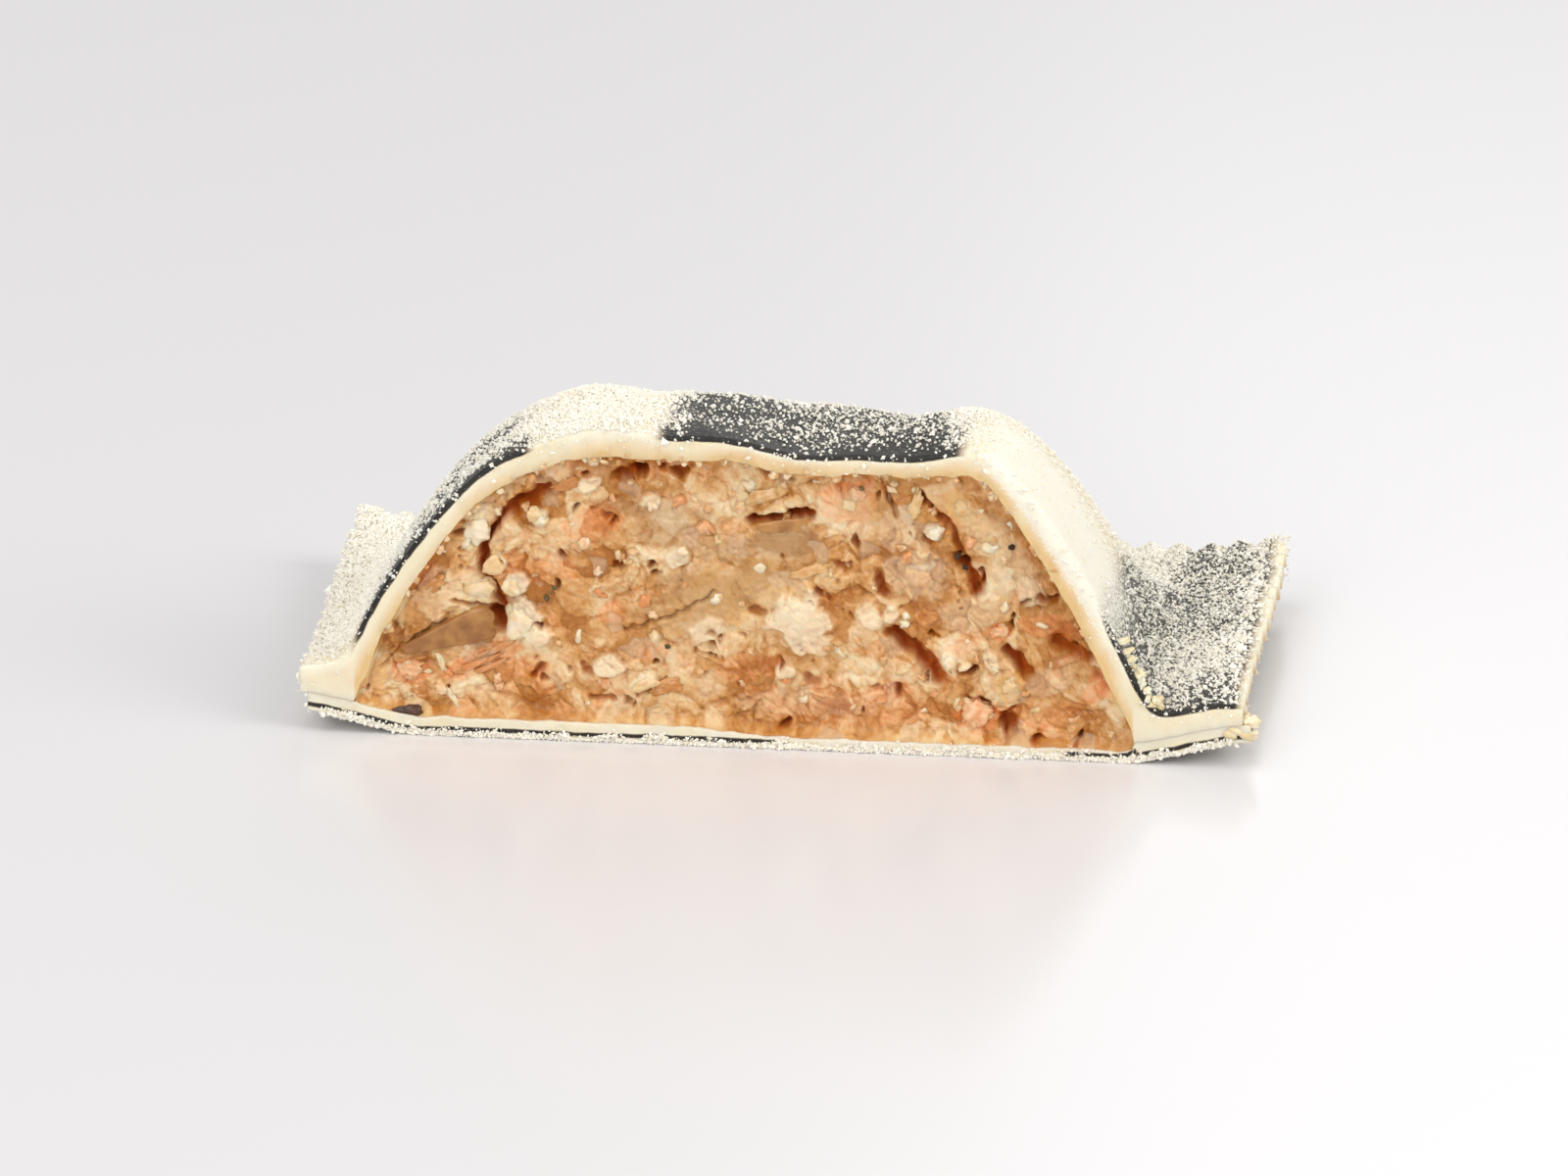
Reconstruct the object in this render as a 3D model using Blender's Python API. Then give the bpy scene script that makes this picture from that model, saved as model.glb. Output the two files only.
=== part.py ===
"""Half of a large square filled raviolo, cut straight across its stripes.

Three pieces, as the cook assembles them: a flat lower sheet of pasta, a mound of coarse filling, and an
upper sheet laid over it and pressed down round three sides into a pinked rim. The fourth side is the knife
cut, which shows both sheets and the filling. Lengths are millimetres here and become metres in the meshes.
The long side runs along X, the cut face looks towards -Y, and the belly rests on Z = 0.
"""

import math
import random

import bpy
from mathutils import Vector, noise
from mathutils.geometry import delaunay_2d_cdt

METRES_PER_MM = 0.001

# Overall size
LENGTH = 50.0  # along the knife cut
DEPTH = 25.0  # from the cut to the back rim
CROWN = 17.0  # highest point of the dome above the table
CUT_Y = -DEPTH / 2
BACK_Y = DEPTH / 2
SIDE_X = LENGTH / 2

# Pasta
UPPER_SHEET = 1.2  # thickness square to the surface
LOWER_SHEET = 1.0
GAP = 0.3  # kept between touching solids
RIM_HEIGHT = LOWER_SHEET + GAP + 1.0  # the two sheets pressed together

# Dome: where its foot stands and how far it takes to reach the crown, on each side
LEFT_FOOT, LEFT_RUN, LEFT_FULLNESS = -22.2, 13.0, 0.8
RIGHT_FOOT, RIGHT_RUN, RIGHT_FULLNESS = 20.0, 10.5, 1.15
BACK_FOOT, BACK_RUN, BACK_FULLNESS = 8.0, 15.0, 0.95
FOOT_SOFTNESS = 0.05  # rounds the crease at the foot, as a share of the run
SAG_DEPTH, SAG_X, SAG_WIDTH = 0.8, 5.0, 6.0  # the shallow dip in the crown

# Rim: how far the edges curl up off the table, and over what width
LEFT_CURL, RIGHT_CURL, BACK_CURL = 1.1, 1.3, 0.8
CURL_WIDTH = 7.0
TOOTH_PITCH = 1.6
TOOTH_DEPTH = 0.75
EDGE_WANDER = 0.35  # how far the pinked edge strays inwards
CORNER = 1.0  # how far the rim's corners are clipped along each side
LOWER_SHEET_INSET = 0.4  # the lower sheet ends this much short of the upper one, but for its right corner
SCRAP_REACH = 6.0  # length of the lower sheet's corner that peeks out beyond the upper one

# The low waves in the upper sheet over lumps of filling: height, turns per millimetre along X and Y, phases
BROAD_WAVE = 0.25, 0.42, 0.38, 0.9, 0.5
FINE_WAVE = 0.12, 0.95, -0.62, 2.1

# Mesh spacing
UPPER_SPACING = 1.15
LOWER_SPACING = 2.4
FACE_SPACING = 0.65
CUT_SPACING = 1.25

# Filling
CAVITY_LEAST = 0.7  # the filling ends where the space between the sheets gets this low
CRUMB_SIZE = 1.7
CRUMB_DEPTH = 0.75
CLUMP_SIZE = 6.0
CLUMP_DEPTH = 0.6
# Crevices on the cut face: points along each as (x, z), width and depth
CREVICES = (
    (((-11.7, 13.9), (-13.2, 12.5), (-14.3, 11.0), (-14.8, 9.0), (-14.3, 6.7), (-13.6, 6.0)), 0.7, 1.9),
    (((-8.4, 14.5), (-6.4, 14.7)), 0.6, 1.2),
    (((7.5, 14.0), (8.6, 13.0), (9.6, 11.2), (10.6, 9.4), (11.1, 8.4)), 0.6, 2.2),
    (((5.7, 9.3), (6.1, 8.2)), 0.6, 1.4),
    (((6.6, 6.3), (8.0, 5.1), (8.4, 4.0)), 0.7, 1.7),
    (((12.3, 5.5), (13.0, 4.4)), 0.7, 1.4),
    (((14.7, 5.8), (15.6, 4.6)), 0.8, 1.3),
)

RANDOM_SEED = 11


def smooth_step(t):
    """0 below 0, 1 above 1, and a smooth rise between."""
    t = min(max(t, 0.0), 1.0)
    return t * t * (3 - 2 * t)


def rise(distance, run, fullness):
    """Height share of the dome at a distance inside its foot: steep at the foot, level once past the run."""
    t = distance / run
    t = (t + math.hypot(t, FOOT_SOFTNESS)) / 2
    t = min(t, 1.0)
    return (1 - (1 - t) ** 2) ** fullness


def belly(x, y):
    """Underside of the lower sheet: flat on the table, curling up towards the three pinked edges."""
    left = LEFT_CURL * smooth_step((-x - SIDE_X + CURL_WIDTH) / CURL_WIDTH)
    right = RIGHT_CURL * smooth_step((x - SIDE_X + CURL_WIDTH) / CURL_WIDTH)
    back = BACK_CURL * smooth_step((y - BACK_Y + CURL_WIDTH) / CURL_WIDTH)
    return math.sqrt(left * left + right * right + back * back)


def dome_share(x, y):
    """0 on the rim and 1 on the crown."""
    left = rise(x - LEFT_FOOT, LEFT_RUN, LEFT_FULLNESS)
    right = rise(RIGHT_FOOT - x, RIGHT_RUN, RIGHT_FULLNESS)
    back = rise(BACK_FOOT - y, BACK_RUN, BACK_FULLNESS)
    return left * right * back


def undulation(x, y):
    """The lumps of filling that show through the upper sheet."""
    height, turn_x, turn_y, phase_x, phase_y = BROAD_WAVE
    broad = height * math.sin(turn_x * x + phase_x) * math.cos(turn_y * y + phase_y)
    height, turn_x, turn_y, phase = FINE_WAVE
    fine = height * math.sin(turn_x * x + turn_y * y + phase)
    dip = SAG_DEPTH * math.exp(-(((x - SAG_X) / SAG_WIDTH) ** 2))
    return broad + fine - dip


def upper_top(x, y):
    """Outer surface of the upper sheet."""
    share = dome_share(x, y)
    return belly(x, y) + RIM_HEIGHT + share * (CROWN - RIM_HEIGHT) + share * undulation(x, y)


def lower_top(x, y):
    """Upper surface of the lower sheet."""
    return belly(x, y) + LOWER_SHEET


def upper_underside(x, y):
    """Inner surface of the upper sheet: one thickness below the outer one, or resting on the lower sheet."""
    step = 0.05
    slope_x = (upper_top(x + step, y) - upper_top(x - step, y)) / (2 * step)
    slope_y = (upper_top(x, y + step) - upper_top(x, y - step)) / (2 * step)
    drop = UPPER_SHEET * math.sqrt(1 + slope_x * slope_x + slope_y * slope_y)
    return max(upper_top(x, y) - drop, lower_top(x, y) + GAP)


def filling_top(x, y):
    return upper_underside(x, y) - GAP


def filling_bottom(x, y):
    return lower_top(x, y) + GAP


def pinked_edge(start, end, inward, rng, wander_phase):
    """Points of a zigzag edge from start to end: tips on the straight line, notches cut inward."""
    count = round((end - start).length / TOOTH_PITCH)
    points = []
    for i in range(2 * count + 1):
        along = start.lerp(end, i / (2 * count))
        wander = EDGE_WANDER * (0.5 + 0.5 * math.sin(wander_phase + 0.5 * i / math.pi))
        notch = TOOTH_DEPTH * rng.uniform(0.75, 1.2) if i % 2 else 0.0
        points.append(along + inward * (wander + notch))
    return points


def sheet_outline(inset, scrap):
    """Closed outline of a sheet: up the left side, along the back, down the right, then along the cut."""
    rng = random.Random(RANDOM_SEED)
    left, right, back = -SIDE_X + inset, SIDE_X - inset, BACK_Y - inset
    corners = [(left, CUT_Y), (left, back - CORNER), (left + CORNER, back)]
    corners += [(right - CORNER, back), (right, back - CORNER), (right, CUT_Y)]
    corners = [Vector(corner) for corner in corners]
    left_edge = pinked_edge(corners[0], corners[1], Vector((1, 0)), rng, 0.4)
    back_edge = pinked_edge(corners[2], corners[3], Vector((0, -1)), rng, 2.0)
    right_edge = pinked_edge(corners[4], corners[5], Vector((-1, 0)), rng, 4.0)
    if scrap:
        right_edge = [stretched(p) for p in right_edge]
    cut_count = round(LENGTH / CUT_SPACING)
    first, last = left_edge[0], right_edge[-1]
    cut_edge = [last.lerp(first, i / cut_count) for i in range(1, cut_count)]
    return left_edge + back_edge + right_edge + cut_edge


def stretched(point):
    """A point of the lower sheet's right edge, drawn out near the cut, where its corner peeks out."""
    share = smooth_step(1 - (point.y - CUT_Y) / SCRAP_REACH)
    return Vector((point.x + share * (SIDE_X - point.x), point.y))


def inside(point, outline, clearance):
    """True where the point lies inside the outline and at least the clearance from its corners and sides."""
    crossings = 0
    for a, b in zip(outline, outline[1:] + outline[:1]):
        along = b - a
        t = min(max((point - a).dot(along) / along.length_squared, 0.0), 1.0)
        if (point - a - along * t).length < clearance:
            return False
        if (a.y > point.y) != (b.y > point.y):
            crossings += point.x < a.x + (point.y - a.y) * (b.x - a.x) / (b.y - a.y)
    return crossings % 2 == 1


def staggered_points(outline, spacing):
    """Points on a grid of even triangles, inside the outline and clear of it."""
    row_height = spacing * math.sqrt(3) / 2
    low_x, high_x = min(p.x for p in outline), max(p.x for p in outline)
    low_y, high_y = min(p.y for p in outline), max(p.y for p in outline)
    found = []
    for row in range(int((high_y - low_y) / row_height) + 1):
        for column in range(int((high_x - low_x) / spacing) + 1):
            shift = 0.5 * (row % 2)
            point = Vector((low_x + (column + shift) * spacing, low_y + (row + 0.5) * row_height))
            if inside(point, outline, 0.5 * spacing):
                found.append(point)
    return found


def triangulated(outline, spacing):
    """(points, triangles) filling the outline. The outline's own points come first, in their order."""
    points = outline + staggered_points(outline, spacing)
    made, _, faces, sources, _, _ = delaunay_2d_cdt(points, [], [list(range(len(outline)))], 1, 1e-6)
    order = {i: source[0] for i, source in enumerate(sources) if source}
    if len(made) != len(points) or len(order) != len(points):
        raise ValueError("the outline crosses itself")
    return points, [tuple(order[i] for i in face) for face in faces]


def border_edges(triangles):
    """Directed edges that belong to one triangle only."""
    edges = {(t[i], t[(i + 1) % 3]) for t in triangles for i in range(3)}
    return [(a, b) for a, b in edges if (b, a) not in edges]


def add_object(name, points, faces, material):
    mesh = bpy.data.meshes.new(name)
    mesh.from_pydata([Vector(p) * METRES_PER_MM for p in points], [], faces)
    mesh.shade_smooth()
    mesh.set_sharp_from_angle(angle=math.radians(50))
    mesh.materials.append(material)
    obj = bpy.data.objects.new(name, mesh)
    bpy.context.scene.collection.objects.link(obj)
    return obj


def pasta_sheet(name, outline, spacing, underside, top, material):
    """A sheet with the plan of the outline, between its underside and its top."""
    plan, triangles = triangulated(outline, spacing)
    count = len(plan)
    points = [(p.x, p.y, top(p.x, p.y)) for p in plan] + [(p.x, p.y, underside(p.x, p.y)) for p in plan]
    faces = list(triangles)
    faces += [tuple(i + count for i in reversed(t)) for t in triangles]
    faces += [(b, a, a + count, b + count) for a, b in border_edges(triangles)]
    add_object(name, points, faces, material)
    return plan, triangles


def distance_to_path(point, path):
    """Shortest distance from a point to a path of straight stretches."""
    least = math.inf
    for a, b in zip(path, path[1:]):
        start, along = Vector(a), Vector(b) - Vector(a)
        t = min(max((point - start).dot(along) / along.length_squared, 0.0), 1.0)
        least = min(least, (point - start - along * t).length)
    return least


def crag(x, z):
    """How far the cut face is torn back from the knife's plane at a place on it."""
    place = Vector((x, 0, z))
    clump = CLUMP_DEPTH * (0.5 + 0.5 * noise.noise(place / CLUMP_SIZE))
    nearest = noise.voronoi(place / CRUMB_SIZE)[0]
    crumb = CRUMB_DEPTH * min(nearest[0], 1.0)
    torn = 0.0
    for path, width, depth in CREVICES:
        torn = max(torn, depth * math.exp(-((distance_to_path(Vector((x, z)), path) / width) ** 2)))
    return clump + crumb + torn


def filling_mound(plan, triangles, material):
    """The filling: the part of the sheet's plan with room under it, closed in front by a craggy cut face."""
    roomy = [filling_top(p.x, p.y) - filling_bottom(p.x, p.y) > CAVITY_LEAST for p in plan]
    kept = [t for t in triangles if all(roomy[i] for i in t)]
    used = sorted({i for t in kept for i in t})
    index = {old: new for new, old in enumerate(used)}
    kept = [tuple(index[i] for i in t) for t in kept]
    ground = [plan[i] for i in used]
    count = len(ground)
    points = [(p.x, p.y, filling_top(p.x, p.y)) for p in ground]
    points += [(p.x, p.y, filling_bottom(p.x, p.y)) for p in ground]
    faces = list(kept)
    faces += [tuple(i + count for i in reversed(t)) for t in kept]
    front = []
    for a, b in border_edges(kept):
        if ground[a].y < CUT_Y + 1e-6 and ground[b].y < CUT_Y + 1e-6:
            front.append((a, b))
        else:
            faces.append((b, a, a + count, b + count))
    ids = sorted({i for edge in front for i in edge}, key=lambda i: ground[i].x)
    ring = [i + count for i in ids] + list(reversed(ids))
    outline = [Vector((points[i][0], points[i][2])) for i in ring]
    face_plan, face_triangles = triangulated(outline, FACE_SPACING)
    numbers = list(ring)
    for place in face_plan[len(ring) :]:
        numbers.append(len(points))
        points.append((place.x, CUT_Y + crag(place.x, place.y), place.y))
    faces += [tuple(numbers[i] for i in t) for t in face_triangles]
    add_object("filling", points, faces, material)


def food_material(name, colour, roughness):
    """A plain surface of one colour, given as linear red, green and blue."""
    material = bpy.data.materials.new(name)
    material.use_nodes = True
    shader = material.node_tree.nodes["Principled BSDF"]
    shader.inputs["Base Color"].default_value = (*colour, 1.0)
    shader.inputs["Roughness"].default_value = roughness
    shader.inputs["Metallic"].default_value = 0.0
    return material


def build():
    for obj in list(bpy.data.objects):
        bpy.data.objects.remove(obj)
    egg_pasta = food_material("egg_pasta", (0.80, 0.70, 0.47), 0.6)
    floured_pasta = food_material("floured_egg_pasta", (0.72, 0.66, 0.50), 0.8)
    salmon_filling = food_material("salmon_and_ricotta_filling", (0.66, 0.38, 0.19), 0.5)
    upper = sheet_outline(0.0, scrap=False)
    lower = sheet_outline(LOWER_SHEET_INSET, scrap=True)
    plan, triangles = pasta_sheet("upper_sheet", upper, UPPER_SPACING, upper_underside, upper_top, egg_pasta)
    pasta_sheet("lower_sheet", lower, LOWER_SPACING, belly, lower_top, floured_pasta)
    filling_mound(plan, triangles, salmon_filling)


build()
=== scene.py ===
"""Looks for half a large square raviolo in striped pasta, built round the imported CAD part.

The half lies on its belly with the knife cut towards the camera. Two pasta sheets, the coarse fish and cheese
filling with its separate morsels, and the flour grains are each a piece of real geometry. Shapes are worked out
in millimetres and become metres when a mesh is made. X runs along the cut, -Y is the side of the cut, Z is up.
"""

import itertools
import logging
import math
import random
from dataclasses import dataclass, field
from enum import Enum
from typing import Any, Callable

import bpy
import numpy as np
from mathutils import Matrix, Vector


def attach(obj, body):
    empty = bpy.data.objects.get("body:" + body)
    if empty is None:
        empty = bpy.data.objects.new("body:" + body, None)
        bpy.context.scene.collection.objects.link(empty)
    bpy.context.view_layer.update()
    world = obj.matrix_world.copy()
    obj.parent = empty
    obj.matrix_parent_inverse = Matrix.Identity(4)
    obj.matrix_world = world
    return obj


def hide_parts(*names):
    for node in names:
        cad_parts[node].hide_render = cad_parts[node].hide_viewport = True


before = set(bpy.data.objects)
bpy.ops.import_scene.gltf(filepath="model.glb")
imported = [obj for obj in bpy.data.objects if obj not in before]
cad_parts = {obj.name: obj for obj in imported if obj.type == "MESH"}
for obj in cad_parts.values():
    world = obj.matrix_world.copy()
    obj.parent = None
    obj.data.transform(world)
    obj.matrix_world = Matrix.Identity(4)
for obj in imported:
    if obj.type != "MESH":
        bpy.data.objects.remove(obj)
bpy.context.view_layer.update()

LOG = logging.getLogger("raviolo")
METRES_PER_MM = 0.001
BODY = "root"
Row = tuple[float, ...]


def linear(hex_colour: str) -> tuple[float, float, float, float]:
    """Turn an sRGB hex colour into linear red, green, blue and an alpha of 1.

    Each channel c is c / 12.92 below 0.04045, and ((c + 0.055) / 1.055) to the power 2.4 above.

    Args:
        hex_colour: Six hex digits, with or without a hash in front.

    Returns:
        The four numbers that a colour socket takes.
    """
    digits = hex_colour.lstrip("#")
    channels = [int(digits[i : i + 2], 16) / 255 for i in (0, 2, 4)]
    red, green, blue = [c / 12.92 if c <= 0.04045 else ((c + 0.055) / 1.055) ** 2.4 for c in channels]
    return red, green, blue, 1.0


def smooth_step(t: np.ndarray) -> np.ndarray:
    """0 below 0, 1 above 1, and 3 t squared minus 2 t cubed between."""
    t = np.clip(t, 0.0, 1.0)
    return t * t * (3 - 2 * t)


def plateau(x: np.ndarray, middle: float, half_width: float) -> np.ndarray:
    """1 round the middle and 0 far from it: e to minus the fourth power of the offset in half widths."""
    return np.exp(-(((x - middle) / half_width) ** 4))


def paired(first: np.ndarray, second: np.ndarray) -> np.ndarray:
    """Join two coordinates of the same places along a new last axis."""
    return np.stack([first, second], axis=-1)


def hashed(cells: np.ndarray, seed: int) -> np.ndarray:
    """Give each whole-numbered cell its own even random number.

    The coordinates are multiplied by large primes and joined with exclusive or, then stirred twice by a shift
    and a multiplication within 32 bits.

    Args:
        cells: Whole numbers, with the coordinates along the last axis.
        seed: Picks one of many independent sets of numbers.

    Returns:
        Numbers from 0 to 1, one for each cell.
    """
    primes = np.array([73856093, 19349663, 83492791], np.int64)[: cells.shape[-1]]
    low_bits = np.int64(0xFFFFFFFF)
    value = np.bitwise_xor.reduce(cells.astype(np.int64) * primes, axis=-1) ^ np.int64(seed * 668265263 % 2**31)
    value &= low_bits
    for _ in range(2):
        value = ((value >> 16) ^ value) * np.int64(0x45D9F3B) & low_bits
    return ((value >> 16) ^ value) / 2.0**32


def gradient_noise(points: np.ndarray, seed: int) -> np.ndarray:
    """Smooth noise of about -1 to 1 whose lumps are one unit across.

    Each corner of the unit cell holds a random slope; the noise is the sum of slope times distance from the
    corner, weighted by a fade of 6 t^5 - 15 t^4 + 10 t^3 along each axis.

    Args:
        points: Places in units of the lump size, two or three coordinates along the last axis.
        seed: Picks the pattern.

    Returns:
        One number for each point.
    """
    cell = np.floor(points).astype(np.int64)
    part = points - cell
    fade = part**3 * (part * (part * 6 - 15) + 10)
    total = np.zeros(points.shape[:-1])
    for corner in itertools.product((0, 1), repeat=points.shape[-1]):
        there = cell + np.array(corner)
        slope = np.stack([2 * hashed(there, seed + 17 * axis) - 1 for axis in range(points.shape[-1])], axis=-1)
        weight = np.prod(np.where(np.array(corner) == 1, fade, 1 - fade), axis=-1)
        total += weight * np.sum(slope * (part - np.array(corner)), axis=-1)
    return total * 1.6


def layered_noise(points: np.ndarray, layers: int, seed: int) -> np.ndarray:
    """Sum of noise layers, each half as large and half as strong as the one before."""
    return sum(gradient_noise(points * 2.0**k, seed + 101 * k) * 0.5**k for k in range(layers))


def crumb_cells(points: np.ndarray, seed: int) -> tuple[np.ndarray, np.ndarray, np.ndarray]:
    """Split the plane or space into random crumbs about one unit across.

    Each unit cell holds one random seed point, and a place belongs to the crumb of the nearest one.

    Args:
        points: Places in units of the crumb size, coordinates along the last axis.
        seed: Picks the pattern.

    Returns:
        Distance to the nearest seed point, distance to the second nearest, and the crumb's own random number.
    """
    cell = np.floor(points).astype(np.int64)
    nearest = np.full(points.shape[:-1], np.inf)
    second = nearest.copy()
    tone = np.zeros(points.shape[:-1])
    for step in itertools.product((-1, 0, 1), repeat=points.shape[-1]):
        there = cell + np.array(step)
        shift = np.stack([hashed(there, seed + 29 * axis) for axis in range(points.shape[-1])], axis=-1)
        distance = np.linalg.norm(points - there - shift, axis=-1)
        closer = distance < nearest
        second = np.where(closer, nearest, np.minimum(second, distance))
        tone = np.where(closer, hashed(there, seed + 997), tone)
        nearest = np.where(closer, distance, nearest)
    return nearest, second, tone


def path_distance(points: np.ndarray, path: tuple[Row, ...]) -> np.ndarray:
    """Distance from each point to a path of straight stretches, the least over all of its stretches.

    Args:
        points: Places with two coordinates along the last axis.
        path: Corners of the path.

    Returns:
        One distance for each point.
    """
    corners = np.array(path, float)
    least = np.full(points.shape[:-1], np.inf)
    for start, end in zip(corners[:-1], corners[1:]):
        along = end - start
        share = np.clip(((points - start) @ along) / (along @ along), 0.0, 1.0)
        least = np.minimum(least, np.linalg.norm(points - start - share[..., None] * along, axis=-1))
    return least


def random_turns(rng: np.random.Generator, count: int) -> np.ndarray:
    """Make evenly spread random turns from random unit quaternions.

    Args:
        rng: Source of the random numbers.
        count: How many turns.

    Returns:
        Rotation matrices, one 3 by 3 for each turn.
    """
    quaternion = rng.normal(size=(count, 4))
    w, x, y, z = (quaternion / np.linalg.norm(quaternion, axis=1, keepdims=True)).T
    rows = [
        [1 - 2 * (y * y + z * z), 2 * (x * y - z * w), 2 * (x * z + y * w)],
        [2 * (x * y + z * w), 1 - 2 * (x * x + z * z), 2 * (y * z - x * w)],
        [2 * (x * z - y * w), 2 * (y * z + x * w), 1 - 2 * (x * x + y * y)],
    ]
    return np.moveaxis(np.array(rows), -1, 0)


@dataclass
class Shell:
    """A closed surface in the making: points in millimetres, faces as rows of point numbers, and point traits."""

    points: np.ndarray
    faces: np.ndarray
    traits: dict[str, np.ndarray] = field(default_factory=dict)

    def triangles(self) -> np.ndarray:
        """Faces as triangles, each four-sided one split along its first diagonal.

        Returns:
            Three point numbers for each triangle.
        """
        if self.faces.shape[1] == 3:
            return self.faces
        return np.concatenate([self.faces[:, [0, 1, 2]], self.faces[:, [0, 2, 3]]])

    def welded(self, step: float = 1e-4) -> "Shell":
        """Join the points that coincide, and drop the triangles that this flattens and any unused point.

        Args:
            step: Points that round to the same multiple of this many millimetres become one.

        Returns:
            The joined shell, in triangles.
        """
        keys = np.round(self.points / step).astype(np.int64)
        _, first, joined = np.unique(keys, axis=0, return_index=True, return_inverse=True)
        faces = joined.reshape(-1)[self.triangles()]
        a, b, c = faces.T
        faces = faces[(a != b) & (b != c) & (c != a)]
        used, numbers = np.unique(faces, return_inverse=True)
        keep = first[used]
        return Shell(self.points[keep], numbers.reshape(-1, 3), {k: v[keep] for k, v in self.traits.items()})

    def outward(self) -> "Shell":
        """Turn the faces round where the signed volume, a sixth of the sum of a . (b x c), is below 0.

        Returns:
            The shell itself.
        """
        a, b, c = (self.points[self.triangles()[:, i]] for i in range(3))
        volume = np.einsum("ij,ij->", a, np.cross(b, c)) / 6
        if volume < 0:
            self.faces = self.faces[:, ::-1]
        return self


def ring_faces(columns: int, ring: int) -> np.ndarray:
    """Faces of a body lofted through closed rings, with both ends closed.

    Neighbouring rings are joined by four-sided faces. Each end ring, whose count is even, is closed like a
    ladder: point i is joined to the point as far from the ring's start on the other side.

    Args:
        columns: How many rings there are.
        ring: How many points each ring has.

    Returns:
        Point numbers, four for each face.
    """
    index = np.arange(columns * ring).reshape(columns, ring)
    ahead = np.roll(index, -1, axis=1)
    sides = np.stack([index[:-1], index[1:], ahead[1:], ahead[:-1]], axis=-1).reshape(-1, 4)
    near, far = index[:, : ring // 2], index[:, ::-1][:, : ring // 2]
    first = np.stack([near[0, :-1], near[0, 1:], far[0, 1:], far[0, :-1]], axis=-1)
    last = np.stack([near[-1, :-1], near[-1, 1:], far[-1, 1:], far[-1, :-1]], axis=-1)[:, ::-1]
    return np.concatenate([sides, first, last])


def lumps(
    rng: np.random.Generator,
    centres: np.ndarray,
    half_sizes: np.ndarray,
    turns: np.ndarray,
    roughness: float,
    lumpiness: float,
    rings: int = 9,
    segments: int = 12,
    blockiness: float = 3.0,
    taper: float | np.ndarray = 0.35,
) -> Shell:
    """Make uneven lumps: super-ellipsoids whose radius varies with layered noise of the direction.

    The radius along a unit direction is the sum of its coordinates' powers, to minus one over that power,
    times 1 plus the noise. The height then grows or shrinks evenly from one end to the other.

    Args:
        rng: Source of each lump's own noise and taper.
        centres: Middle of each lump.
        half_sizes: Half of its length, width and height before it is turned.
        turns: Its rotation matrix.
        roughness: How far the noise moves the surface, as a share of the radius.
        lumpiness: How many noise lumps fit across the radius.
        rings: Rows of faces from pole to pole.
        segments: Faces round the middle.
        blockiness: The power: 2 makes ellipsoids, and more makes them squarer.
        taper: Most that the height changes from the middle to an end, as a share, or each lump's own change.

    Returns:
        All the lumps as one shell, with each lump's random number from 0 to 1 as the trait "own".
    """
    polar, around = np.meshgrid(
        np.linspace(0, math.pi, rings + 1), np.linspace(0, 2 * math.pi, segments, endpoint=False), indexing="ij"
    )
    directions = np.stack([np.sin(polar) * np.cos(around), np.sin(polar) * np.sin(around), np.cos(polar)], axis=-1)
    directions = directions.reshape(-1, 3)
    shifts = rng.uniform(0, 500, (len(centres), 1, 3))
    squarish = np.sum(np.abs(directions) ** blockiness, axis=1) ** (-1 / blockiness)
    radius = squarish * (1 + roughness * layered_noise(directions[None] * lumpiness + shifts, 3, 5))
    local = directions[None] * radius[..., None]
    change = rng.uniform(-1, 1, len(centres)) * taper if np.isscalar(taper) else np.asarray(taper)
    local[..., 2] *= 1 + change[:, None] * local[..., 0]
    local = local * half_sizes[:, None, :]
    points = centres[:, None, :] + np.einsum("nij,nkj->nki", turns, local)
    grid = np.arange(len(directions)).reshape(rings + 1, segments)
    grid[0], grid[-1] = grid[0, 0], grid[-1, 0]
    ahead = np.roll(grid, -1, axis=1)
    quads = np.stack([grid[:-1], grid[1:], ahead[1:], ahead[:-1]], axis=-1).reshape(-1, 4)
    triangles = np.concatenate([quads[:, [0, 1, 2]], quads[:, [0, 2, 3]]])
    a, b, c = triangles.T
    triangles = triangles[(a != b) & (b != c) & (c != a)]
    used, numbers = np.unique(triangles, return_inverse=True)
    faces = numbers.reshape(1, -1, 3) + (np.arange(len(centres)) * len(used))[:, None, None]
    own = np.repeat(rng.uniform(0, 1, len(centres)), len(used))
    return Shell(points[:, used].reshape(-1, 3), faces.reshape(-1, 3), {"own": own})


def noise_scale(size: float) -> float:
    """Scale of a noise texture, per metre, whose lumps are this many millimetres across."""
    return 1.0 / (size * METRES_PER_MM)


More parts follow.
